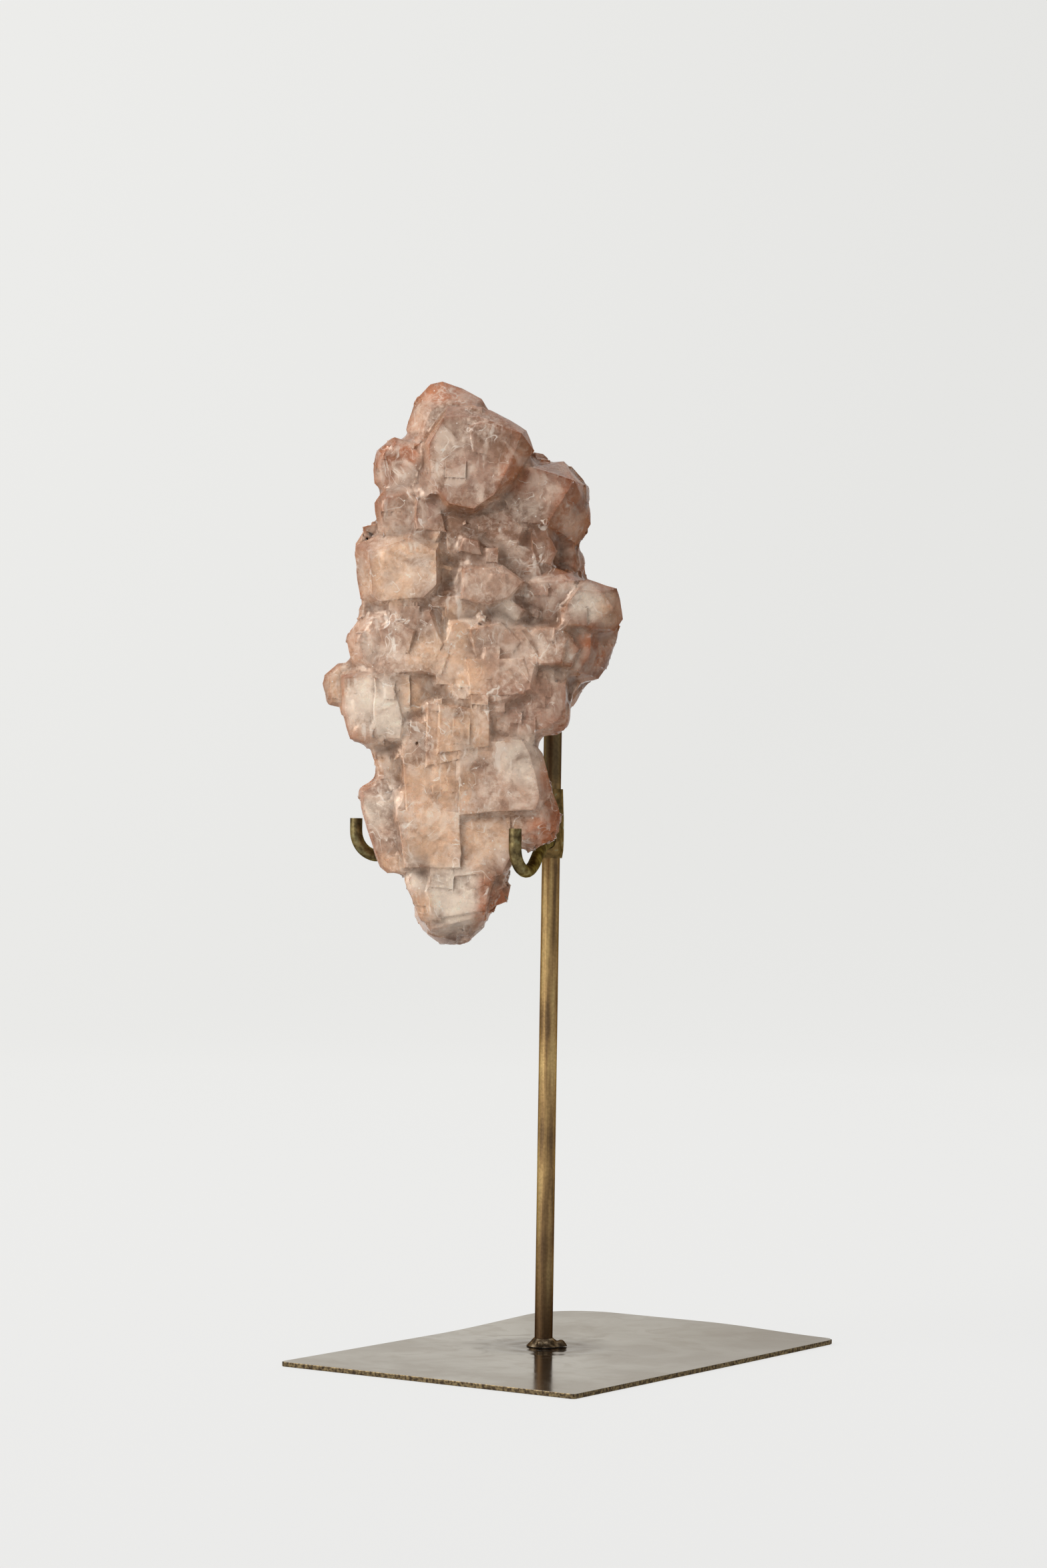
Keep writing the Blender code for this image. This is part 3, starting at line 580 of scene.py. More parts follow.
print("noise at three places:", smooth_noise(np.eye(3), 0.4, 1).round(2))


# %% Warp and wear
INWARD = 0.45  # mm that the skin draws back, so that its relief stays inside the solid
TOP_DRAWN, FOOT_DRAWN, FLANK_DRAWN = 4.0, 3.0, 1.5  # mm, the most that the front draws back there


def domed(local):
    """The front drawn back by a few mm at the top, the foot and the flanks, away from the hooks."""
    across, depth, height = local.T
    top = TOP_DRAWN * np.clip((height - 235) / 80, 0, 1) ** 2
    foot = FOOT_DRAWN * np.clip((158 - height) / 22, 0, 1) ** 2
    flank = FLANK_DRAWN * np.clip((np.abs(across + 28) - 22) / 24, 0, 1) ** 2
    flank *= np.clip((height - 190) / 20, 0, 1)  # the hooks are below
    drawn = (top + foot + flank) * np.clip((depth - 10) / 50, 0, 1)
    return np.stack([across, depth - drawn, height], axis=1)


def worn(obj):
    mesh = obj.data
    local = domed(to_cluster(read_points(mesh)))
    local = local + 0.6 * wandering(local, 15, 31) + 0.2 * wandering(local, 5, 41)
    write_points(mesh, from_cluster(local))
    ways = read_normals(mesh)
    proud = np.clip(-hollowness(mesh, 3) / 0.3, 0, 1)
    relief = 0.12 * cloudy(local, 6, 3) + 0.05 * cloudy(local, 2, 21)
    relief -= 0.20 * proud * (0.35 + 0.65 * cloudy(local, 2.5, 27))
    relief -= INWARD
    points = from_cluster(local) + ways * relief[:, None] * MM
    write_points(mesh, np.clip(points, specimen_low, specimen_high))


worn(cluster)
print("worn skin ends", to_cluster(read_points(cluster.data)).max(axis=0).round(1), "mm out, in its own axes")


# %% Fewer triangles
MOST_TRIANGLES = 190_000


def thinned(obj):
    obj.data.calc_loop_triangles()
    count = len(obj.data.loop_triangles)
    if count > MOST_TRIANGLES:
        modified(obj, "DECIMATE", ratio=MOST_TRIANGLES / count)
    return obj


thinned(cluster)
cluster.data.calc_loop_triangles()
print("thinned:", len(cluster.data.loop_triangles), "triangles")


# %% [markdown]
# ## What the stone's colour follows
# The cluster is one mineral in several tones. Iron stains the prism faces orange-brown and leaves the end
# faces grey to milky, and the faces turned from the front are also painted darker and more saturated, as
# shade.
# The hollows and creases are painted dark brown as shade, and the upper crystals are smokier than the lower
# ones.
# An image texture could hold such a map, but it would need an unwrapped skin. Attributes on the points are
# simpler: each is worked out from the shape, or blended from a short list of crystals and their tones.


# %% Stain and painted shade, hollows and edges
def colour_guides(obj):
    """stain: slopes turned from the front axis, softly, for iron staining and the painted shade on them.
    facet: the same, with crisp edges. rusty: how much iron they carry. hollow and deep: depth between
    crystals,
    where shade is painted. edge: ridge or crease, for pale worn edges with a painted highlight, and painted
    shade."""
    mesh = obj.data
    local = to_cluster(read_points(mesh))
    sideways = 1 - np.abs(blurred(mesh, read_normals(mesh), 2) @ FRONT)
    broad = 0.85 * blurred(mesh, sideways, 22)[:, 0]
    facet = 1 - np.abs(blurred(mesh, read_normals(mesh), 1) @ FRONT)
    high = np.clip((local[:, 2] - 262) / 20, 0, 1)
    right = np.clip((local[:, 0] + 6) / 12, 0, 1)
    far_left = np.clip((-55 - local[:, 0]) / 8, 0, 1)
    rusty = np.clip(0.38 + 0.32 * high + 0.38 * right + 0.18 * far_left, 0, 1)
    rusty *= 1 - 0.55 * np.clip((44 - local[:, 1]) / 22, 0, 1)  # the iron came from the front
    guides = {
        "stain": blurred(mesh, np.maximum(sideways, broad), 1)[:, 0],
        "facet": facet,
        "rusty": rusty * (0.85 + 0.25 * cloudy(local, 18, 95)),
        "hollow": hollowness(mesh, 30),
        "deep": hollowness(mesh, 140),
        "edge": blurred(mesh, hollowness(mesh, 3), 1)[:, 0],
    }
    for name, values in guides.items():
        write_attribute(mesh, name, values)
        print(name, np.percentile(values, [1, 25, 50, 75, 99]).round(2))


colour_guides(cluster)

# %% Tones of the crystals
TONES = {
    "smoke": "#a58b7b",
    "dusk": "#bd9986",
    "rose": "#c3a28d",
    "peach": "#e6c1a2",
    "milk": "#efe0cf",
    "rust": "#bb7048",
    "clay": "#a07a65",
    "soot": "#75625a",
}
# The crystals of each tone: the middle, across and z, and how far the tone reaches, all in mm
CRYSTALS = {
    "smoke": (
        (-44, 303, 8), (-31, 298, 9), (-50, 284, 7), (-9, 274, 6), (-27, 262, 5), (-10, 243, 5),
    ),
    "dusk": (
        (-27, 284, 8), (-3, 282, 8), (-41, 274, 6), (0, 248, 7), (-9, 213, 8), (1, 212, 6),
    ),
    "rose": (
        (-38, 290, 6), (-50, 275, 8), (-60, 262, 6), (-20, 251, 7), (8, 222, 5), (0, 232, 6),
        (-54, 238, 7), (-44, 238, 6), (-57, 228, 7), (-20, 232, 8), (-14, 224, 7), (-43, 198, 6),
        (-18, 184, 8), (-55, 170, 7), (-14, 162, 6),
    ),
    "peach": (
        (-52, 257, 8), (-52, 249, 7), (-40, 257, 6), (18, 244, 5), (-40, 228, 6), (-30, 236, 6),
        (-30, 222, 7), (-70, 218, 6), (-45, 214, 6), (-31, 204, 9), (-40, 190, 8), (-50, 195, 6),
        (-32, 186, 7), (-51, 160, 5), (-39, 170, 9), (-20, 170, 8), (-42, 147, 4),
    ),
    "milk": (
        (-16, 241, 4), (10, 246, 7), (-58, 212, 8), (-52, 206, 6), (-10, 194, 8), (-56, 180, 7),
        (-42, 159, 6), (-32, 154, 8), (-29, 146, 6),
    ),
    "rust": (
        (-33, 314, 7), (-46, 300, 5), (-41, 311, 5), (-24, 313, 5), (-16, 306, 6), (-14, 286, 5),
        (-52, 289, 8), (7, 278, 7), (4, 268, 6), (-6, 289, 5), (4, 255, 5), (14, 252, 4), (14, 229, 7),
        (5, 205, 5), (-1, 190, 4), (0, 178, 5), (-4, 170, 5), (-58, 186, 4), (-19, 153, 5), (-22, 147, 4),
    ),
    "clay": (
        (-20, 299, 7), (-22, 268, 9), (-8, 264, 7), (-3, 256, 6),
    ),
    "soot": (
        (-27, 137, 7), (-19, 140, 6),
    ),
}
LOW_TONE, HIGH_TONE = "#dcb094", "#b59178"  # of the sides and back, at the foot and at the top


def tint(obj):
    """A colour at each point: the crystals' tones at the front, and a cloudy fade from low to high behind."""
    mesh = obj.data
    local = to_cluster(read_points(mesh))
    height = np.clip((local[:, 2] - 150) / 150, 0, 1)[:, None]
    low, high = (np.array(linear(tone)[:3]) for tone in (LOW_TONE, HIGH_TONE))
    tones = {name: np.array(linear(tone)[:3]) for name, tone in TONES.items()}
    behind = (low * (1 - height) + high * height) * (1 + 0.25 * cloudy(local, 26, 91)[:, None])
    milky, smoky = (np.clip(1.6 * cloudy(local, 17, seed), 0, 0.7)[:, None] for seed in (93, 97))
    behind += milky * (tones["milk"] - behind)
    behind += smoky * (tones["smoke"] - behind)
    colour = 0.05 * behind
    share = np.full(len(local), 0.05)
    wandered = local + 1.6 * wandering(local, 9, 71) + 0.7 * wandering(local, 3, 75)
    front = np.clip((local[:, 1] - 22) / 14, 0, 1)
    for tone, middles in CRYSTALS.items():
        for across, z, reach in middles:
            away = ((wandered[:, 0] - across) ** 2 + (wandered[:, 2] - z) ** 2) / reach**2
            weight = front * np.exp(-2.2 * away)
            colour += weight[:, None] * tones[tone]
            share += weight
    layer = mesh.attributes.new("tone", "FLOAT_COLOR", "POINT")
    rgba = np.ones((len(local), 4), np.float32)
    rgba[:, :3] = colour / share[:, None]
    layer.data.foreach_set("color", rgba.ravel())


tint(cluster)
cluster.data.shade_smooth()
cluster.data.set_sharp_from_angle(angle=math.radians(30))
print("crystals with a tone of their own:", sum(map(len, CRYSTALS.values())))

# %% [markdown]
# ## Calcite
# Calcite is a clear carbonate, IOR 1.6 on average, but natural crystals are full of cleavage planes, veils
# and dust, so light goes in a little way and comes back hazy. The shader mixes plain transmission with
# scattering just under the surface. A volume of haze would be truer, but a plain one has a single colour.
# Its colour is built in layers over the tones: box-shaped cells give the cleavage blocks, stretched noise
# the growth lines, small white dots painted glints, and the attributes the iron staining with painted shade
# on faces turned from the front, painted shade in the hollows and creases, and a pale line on the ridges.
# Two tables hold the patterns and the layers, so that each can be read and changed in one line.


# %% Patterns in the stone
# Each noise: the size of its features in mm, detail, roughness and swirl, and the places it is read at
NOISES = {
    "mottle": (3.2, 4, 0.6, 0.5, "square"),
    "dark cloud": (9, 4, 0.6, 0.6, "square"),
    "pale cloud": (8, 4, 0.6, 0.8, "wandered"),
    "frost": (1.6, 5, 0.68, 0.4, "square"),
    "frost patch": (13, 2, 0.5, 0.0, "square"),
    "vein": (10, 2, 0.5, 1.0, "wandered"),
    "vein patch": (5, 2, 0.5, 0.0, "square"),
    "growth line": (1.6, 2, 0.5, 0.0, "upright"),
    "line patch": (14, 1, 0.5, 0.0, "square"),
    "iron": (9, 3, 0.5, 0.0, "square"),
    "grain": (0.7, 2, 0.6, 0.0, "square"),
    "ripple": (2.2, 4, 0.5, 0.0, "square"),
    "polish": (3, 3, 0.5, 0.0, "square"),
}
# Each shading: the pattern that makes the tone darker or lighter, its ends, and by how much
SHADINGS = (
    ("large block", 0.0, 1.0, 0.08),
    ("small block", 0.0, 1.0, 0.05),
    ("mottle", 0.3, 0.7, 0.17),
    ("grain", 0.25, 0.75, 0.11),
)
# Each layer: its colour, the pattern it follows, where that starts and ends, the most it covers, and
# another pattern with its start and end that keeps it to patches
LAYERS = (
    ("#7f5d49", "dark cloud", 0.49, 0.69, 0.66, None),
    ("#fbe8d6", "pale cloud", 0.48, 0.66, 0.60, None),
    ("#fbe9d8", "frost", 0.44, 0.70, 0.78, ("frost patch", 0.38, 0.60)),
    ("#fff4e8", "vein", 0.013, 0.003, 0.80, ("vein patch", 0.48, 0.58)),
    ("#f9eee1", "growth line", 0.57, 0.68, 0.60, ("line patch", 0.50, 0.60)),
    # Painted glints: tiny white dots in the colour stand in for highlights
    ("#fffaf2", "dot", 0.15, 0.06, 0.95, ("dot chance", 0.72, 0.80)),
    # Iron tone on faces turned from the front: iron staining, and painted shade that makes them darker and
    # more saturated
    ("iron tone", "stain", 0.27, 0.72, 0.95, ("rusty", 0.0, 1.0)),
    ("iron tone", "facet", 0.12, 0.34, 0.60, ("rusty", 0.0, 1.0)),
    ("#8f4a22", "hollow", -0.30, -0.95, 0.85, ("rusty", 0.0, 1.0)),
    # Darkest where a face turns furthest from the front: iron staining and painted shade
    ("#7a3a18", "stain", 0.70, 1.00, 0.45, ("rusty", 0.45, 1.0)),
    # Painted shade: dark brown in deep places and in the hollows between crystals
    ("#684a38", "deep", 0.60, 3.60, 0.66, None),
    ("#5f4231", "hollow", 0.12, 1.40, 0.85, None),
    # A pale line on ridges: partly worn edge, partly painted highlight
    ("#f4dcc4", "edge", -0.14, -0.40, 0.15, None),
    # A dark line in creases: painted shade
    ("#4a3122", "edge", 0.18, 0.65, 0.60, None),
)


def stone_patterns(tree, place):
    """Every pattern by name, as a socket."""
    square = add(tree, "ShaderNodeMapping", {"Vector": place, "Rotation": (0, 0, -FACING)}).outputs["Vector"]
    # Places that wander by up to 2.5 mm, so that no pattern runs dead straight
    drift = add(tree, "ShaderNodeTexNoise", {"Vector": square, "Scale": per(7)}).outputs["Color"]
    halfway = (0.5, 0.5, 0.5)
    centred = add(tree, "ShaderNodeVectorMath", {0: drift, 1: halfway}, operation="SUBTRACT").outputs[0]
    drawn = add(tree, "ShaderNodeVectorMath", {0: centred, "Scale": 5 * MM}, operation="SCALE").outputs[0]
    wandered = add(tree, "ShaderNodeVectorMath", {0: square, 1: drawn}, operation="ADD").outputs[0]
    upright = add(tree, "ShaderNodeMapping", {"Vector": wandered, "Scale": (1, 1, 0.12)}).outputs["Vector"]
    places = {"square": square, "wandered": wandered, "upright": upright}
    patterns = {}
    for name in ("stain", "facet", "rusty", "hollow", "deep", "edge"):
        patterns[name] = add(tree, "ShaderNodeAttribute", attribute_name=name).outputs["Fac"]
    for name, (size, detail, rough, swirl, where) in NOISES.items():
        settings = {"Vector": places[where], "Scale": per(size), "Detail": detail, "Roughness": rough}
        patterns[name] = add(tree, "ShaderNodeTexNoise", settings | {"Distortion": swirl}).outputs["Fac"]
    # Cleavage blocks of 11 and 4 mm are cells of the largest distance along any axis
    for name, size in (("large block", 11), ("small block", 4)):
        cells = {"Vector": wandered, "Scale": per(size), "Randomness": 0.85}
        cell = add(tree, "ShaderNodeTexVoronoi", cells, feature="F1", distance="CHEBYCHEV")
        patterns[name] = add(tree, "ShaderNodeSeparateColor", {0: cell.outputs["Color"]}).outputs[0]
    # Glints are painted as white dots, under half a millimetre, drawn a little larger so that they show
    dot = add(tree, "ShaderNodeTexVoronoi", {"Vector": square, "Scale": per(2.2)}, feature="F1")
    patterns["dot"] = dot.outputs["Distance"]
    patterns["dot chance"] = add(tree, "ShaderNodeSeparateColor", {0: dot.outputs["Color"]}).outputs[1]
    # A healed crack is where the vein noise crosses its middle
    vein = add(tree, "ShaderNodeMath", {0: patterns["vein"], 1: 0.5}, operation="SUBTRACT").outputs[0]
    patterns["vein"] = add(tree, "ShaderNodeMath", {0: vein}, operation="ABSOLUTE").outputs[0]
    stops = ((0.36, "#5e3416"), (0.62, "#a66a3a"))
    patterns["iron tone"] = add(tree, "ShaderNodeValToRGB", {"Fac": patterns["iron"]}, stops=stops).outputs[0]
    return patterns


print("patterns:", len(NOISES), "noises and", len(LAYERS), "layers")


# %% Calcite, iron-stained and full of veils
def layered_colour(tree, patterns):
    colour = add(tree, "ShaderNodeAttribute", attribute_name="tone").outputs["Color"]
    for name, low, high, swing in SHADINGS:
        ends = {0: patterns[name], 1: low, 2: high, 3: 1 - swing, 4: 1 + swing}
        shade = add(tree, "ShaderNodeMapRange", ends).outputs[0]
        colour = add(tree, "ShaderNodeVectorMath", {0: colour, "Scale": shade}, operation="SCALE").outputs[0]
    for over, name, start, end, most, patch in LAYERS:
        amount = add(tree, "ShaderNodeMapRange", {0: patterns[name], 1: start, 2: end, 4: most}).outputs[0]
        if patch:
            where, low, high = patch
            limit = add(tree, "ShaderNodeMapRange", {0: patterns[where], 1: low, 2: high}).outputs[0]
            amount = add(tree, "ShaderNodeMath", {0: amount, 1: limit}, operation="MULTIPLY").outputs[0]
        mixed = {0: amount, 6: colour, 7: patterns.get(over, over)}
        colour = add(tree, "ShaderNodeMix", mixed, data_type="RGBA").outputs[2]
    return colour


def calcite(tree, place):
    patterns = stone_patterns(tree, place)
    # Steps at the block borders and a fine ripple
    height = add(tree, "ShaderNodeMath", {0: patterns["ripple"], 1: 0.35}, operation="MULTIPLY").outputs[0]
    for name, step in (("large block", 0.5), ("small block", 0.25)):
        raised = {0: patterns[name], 1: step, 2: height}
        height = add(tree, "ShaderNodeMath", raised, operation="MULTIPLY_ADD").outputs[0]
    relief = add(tree, "ShaderNodeBump", {"Height": height, "Strength": 0.8, "Distance": 0.5 * MM})
    polished = {0: patterns["polish"], 1: 0.3, 2: 0.7, 3: 0.13, 4: 0.34}
    gloss = add(tree, "ShaderNodeMapRange", polished).outputs[0]
    return {
        "Base Color": layered_colour(tree, patterns),
        "Roughness": gloss,
        "IOR": 1.6,
        "Specular IOR Level": 0.25,
        "Specular Tint": "#e6cdb6",
        "Transmission Weight": 0.4,
        "Subsurface Weight": 1.0,
        "Subsurface Radius": (1.0, 0.92, 0.84),
        "Subsurface Scale": 1.1 * MM,
        "Normal": relief.outputs["Normal"],
    }


stone = new_material(
    "calcite, cleaved, frosted inside and iron-stained", calcite, {"Color": "#e8c6a4", "Density": 8}
)
cluster.data.materials.clear()
cluster.data.materials.append(stone)
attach(cluster, "root")
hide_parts("specimen")
print("calcite:", len(cluster.data.materials[0].node_tree.nodes), "nodes")

# %% [markdown]
# ## Aged brass
# The stand is plain brass rod, wire and sheet that has been left to tarnish. Brass goes from gold through
# olive to brown as its oxide grows, in streaks along drawn rod and in broad clouds on rolled sheet, and it
# keeps a satin gloss. A metal's colour is its reflection, so the tarnish is written in the base colour, and
# the specular tint keeps the glancing edges from turning white.


# %% Drawn brass rod, tarnished in streaks
def tarnished_rod(tree, place):
    along = add(tree, "ShaderNodeMapping", {"Vector": place, "Scale": (1, 1, 0.06)}).outputs["Vector"]
    noises = []
    for where, size, detail in ((along, 2.2, 3), (place, 26, 2), (place, 0.9, 3)):
        settings = {"Vector": where, "Scale": per(size), "Detail": detail}
        noises.append(add(tree, "ShaderNodeTexNoise", settings).outputs["Fac"])
    streak, zone, speck = noises
    tarnish = add(tree, "ShaderNodeMath", {0: zone, 1: 0.8, 2: streak}, operation="MULTIPLY_ADD").outputs[0]
    amount = add(tree, "ShaderNodeMapRange", {0: tarnish, 1: 0.6, 2: 1.2}).outputs[0]
    stops = ((0.2, "#6d573e"), (0.42, "#8e724d"), (0.6, "#a5875b"), (0.8, "#bc9f6c"))
    colour = add(tree, "ShaderNodeValToRGB", {"Fac": amount}, stops=stops).outputs["Color"]
    height = add(tree, "ShaderNodeSeparateXYZ", {0: place}).outputs["Z"]
    foot = add(tree, "ShaderNodeMapRange", {0: height, 1: 60 * MM, 2: 12 * MM, 4: 0.9}).outputs[0]
    # Darker from 183 to 192 mm up, where the rod runs behind the cluster: painted shade
    behind = add(tree, "ShaderNodeMapRange", {0: height, 1: 183 * MM, 2: 192 * MM, 4: 0.75}).outputs[0]
    for amount, over in ((foot, "#4b3928"), (behind, "#463e30")):
        colour = add(tree, "ShaderNodeMix", {0: amount, 6: colour, 7: over}, data_type="RGBA").outputs[2]
    grey = add(tree, "ShaderNodeMapRange", {0: speck, 1: 0.35, 2: 0.65, 3: 0.85, 4: 1.12}).outputs[0]
    colour = add(tree, "ShaderNodeVectorMath", {0: colour, "Scale": grey}, operation="SCALE").outputs[0]
    roughness = add(tree, "ShaderNodeMapRange", {0: streak, 1: 0.3, 2: 0.7, 3: 0.48, 4: 0.34}).outputs[0]
    pits = add(tree, "ShaderNodeBump", {"Height": speck, "Strength": 0.25, "Distance": 0.2 * MM})
    finish = {"Base Color": colour, "Metallic": 1.0, "Roughness": roughness, "Specular Tint": "#8f7f62"}
    return finish | {"Normal": pits.outputs["Normal"]}


def dress(node, made):
    mesh = nodes[node].data
    mesh.materials.clear()
    mesh.materials.append(made)
    print(node, "is", made.name)


dress("post", new_material("brass rod, drawn and tarnished", tarnished_rod))


# %% Bent brass wire, mottled by handling and verdigris
def mottled_wire(tree, place):
    fine = {"Vector": place, "Scale": per(3.2), "Detail": 4, "Roughness": 0.6}
    mottle = add(tree, "ShaderNodeTexNoise", fine).outputs["Fac"]
    stops = ((0.32, "#3d3524"), (0.46, "#5e5137"), (0.58, "#7f704c"), (0.7, "#9c8c62"))
    colour = add(tree, "ShaderNodeValToRGB", {"Fac": mottle}, stops=stops).outputs["Color"]
    bloom = add(tree, "ShaderNodeTexNoise", {"Vector": place, "Scale": per(1.6), "Detail": 3}).outputs["Fac"]
    green = add(tree, "ShaderNodeMapRange", {0: bloom, 1: 0.55, 2: 0.72, 4: 0.35}).outputs[0]
    colour = add(tree, "ShaderNodeMix", {0: green, 6: colour, 7: "#7f8467"}, data_type="RGBA").outputs[2]
    roughness = add(tree, "ShaderNodeMapRange", {0: mottle, 1: 0.3, 2: 0.7, 3: 0.62, 4: 0.42}).outputs[0]
    pits = add(tree, "ShaderNodeBump", {"Height": bloom, "Strength": 0.4, "Distance": 0.25 * MM})
    finish = {"Base Color": colour, "Metallic": 1.0, "Roughness": roughness, "Specular Tint": "#a89c78"}
    return finish | {"Normal": pits.outputs["Normal"]}


wire_brass = new_material("brass wire, bent, mottled brown and green", mottled_wire)
print(wire_brass.name, "has", len(wire_brass.node_tree.nodes), "nodes")

# %% [markdown]
# ## The two bent wires
# Each arm is one brass wire, 4 mm thick, that leaves the rod's sleeve, falls a little and turns up in a
# hook. A curve with a round bevel is the natural way to sweep it. Its points follow the CAD wire, but the
# right one sags into its hook in one easy curve, and the cut ends have a small chamfer.


# %% Arms as bevelled curves
START, START_HEIGHT = 5.2, 169.5  # mm, where each wire leaves the braze, out from the post's axis and up
REACH, BEND = 73.5, 8.0  # mm, how far out the tips stand and the radius of the hooks
LEFT_LOW, RIGHT_LOW = 164.0, 159.7  # mm, the height of each hook's lowest point


def hook_points(low, tip_rise):
    """The quarter circle of a hook and its upright tip, in mm: out along the arm, aside, and up."""
    for step in range(10):
        angle = math.pi / 2 * step / 9
        yield REACH - BEND + BEND * math.sin(angle), 0.0, low + BEND * (1 - math.cos(angle))
    for step in (1, 2, 3):
        yield REACH, 0.0, low + BEND + tip_rise * step / 3


def swept_wire(name, turn, points, radius=2.0):
    """A wire through points along an arm that is turned about the post's axis."""
    data = bpy.data.curves.new(name, "CURVE")
    data.dimensions = "3D"
    data.bevel_depth = radius * MM
    data.bevel_resolution = 6
    data.use_fill_caps = True
    spline = data.splines.new("NURBS")
    spline.points.add(len(points) - 1)
    spline.order_u = 4
    spline.use_endpoint_u = True
    spline.resolution_u = 4
    arm_turn = Matrix.Rotation(math.radians(turn), 3, "Z")
    for point, place in zip(spline.points, points):
        point.co = (*(POST_AXIS + arm_turn @ Vector(place) * MM), 1.0)
    curve = add_object(name, data)
    mesh = evaluated_mesh(curve)
    bpy.data.objects.remove(curve)
    bm = bmesh.new()
    bm.from_mesh(mesh)
    bmesh.ops.remove_doubles(bm, verts=bm.verts, dist=0.01 * MM)
    rims = [edge for edge in bm.edges if any(len(face.verts) > 4 for face in edge.link_faces)]
    bmesh.ops.bevel(bm, geom=rims, offset=0.35 * MM, segments=2, profile=0.5, affect="EDGES")
    bmesh.ops.recalc_face_normals(bm, faces=bm.faces)
    bm.to_mesh(mesh)
    bm.free()
    mesh.name = name
    mesh.shade_smooth()
    mesh.set_sharp_from_angle(angle=math.radians(35))
    return add_object(name, mesh)


STRAIGHT = REACH - BEND - START  # mm, from the braze to where the hook begins
fall = START_HEIGHT - LEFT_LOW  # mm, of the left wire on its way out
left_path = [(START + STRAIGHT * step / 8, 0, START_HEIGHT - fall * step / 8) for step in range(8)]
left_path += hook_points(LEFT_LOW, tip_rise=4.0)
right_path = [(START, 0, START_HEIGHT), (20, 0.2, 168.6), (34, 0.8, 167.0), (46, 1.3, 164.4)]
right_path += [(55, 1.4, 161.6), (61, 0.9, 160.1)]
for out, _, up in hook_points(RIGHT_LOW, tip_rise=5.5):
    right_path.append((out, 0.6 - 2.8 * (out - REACH + BEND) / BEND, up))

for name, turn, path, node in (
    ("wire_left", -116, left_path, "arm_left"),
    ("wire_right", -64, right_path, "arm_right"),
):
    wire = swept_wire(name, turn, path)
    wire.data.materials.append(wire_brass)
    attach(wire, "root")
    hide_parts(node)
    print(name, "has", len(wire.data.polygons), "faces")

# %% [markdown]
# ## The braze that holds the hooks
# Filler metal runs round the rod where the two wires meet it. It is a softer, yellower alloy than the rod
# and corrodes first, so small patches of it are under a pale green bloom. The CAD solid has its shape, and
# one noise sets the metal's colour, where the bloom covers it and how lumpy it is.


# %% Filler metal under pale verdigris
def verdigris_braze(tree, place):
    mottle = add(tree, "ShaderNodeTexNoise", {"Vector": place, "Scale": per(2.4), "Detail": 4}).outputs["Fac"]
    stops = ((0.36, "#5a4a30"), (0.62, "#8f754b"), (0.68, "#8b9074"), (0.76, "#b9c6b8"))
    colour = add(tree, "ShaderNodeValToRGB", {"Fac": mottle}, stops=stops).outputs["Color"]
    bare = add(tree, "ShaderNodeMapRange", {0: mottle, 1: 0.69, 2: 0.63}).outputs[0]
    lumps = add(tree, "ShaderNodeBump", {"Height": mottle, "Strength": 0.4, "Distance": 0.4 * MM})
    finish = {"Base Color": colour, "Metallic": bare, "Roughness": 0.6, "Specular Tint": "#b0a888"}
    return finish | {"Normal": lumps.outputs["Normal"]}


dress("cradle_braze", new_material("brazing filler under verdigris", verdigris_braze))
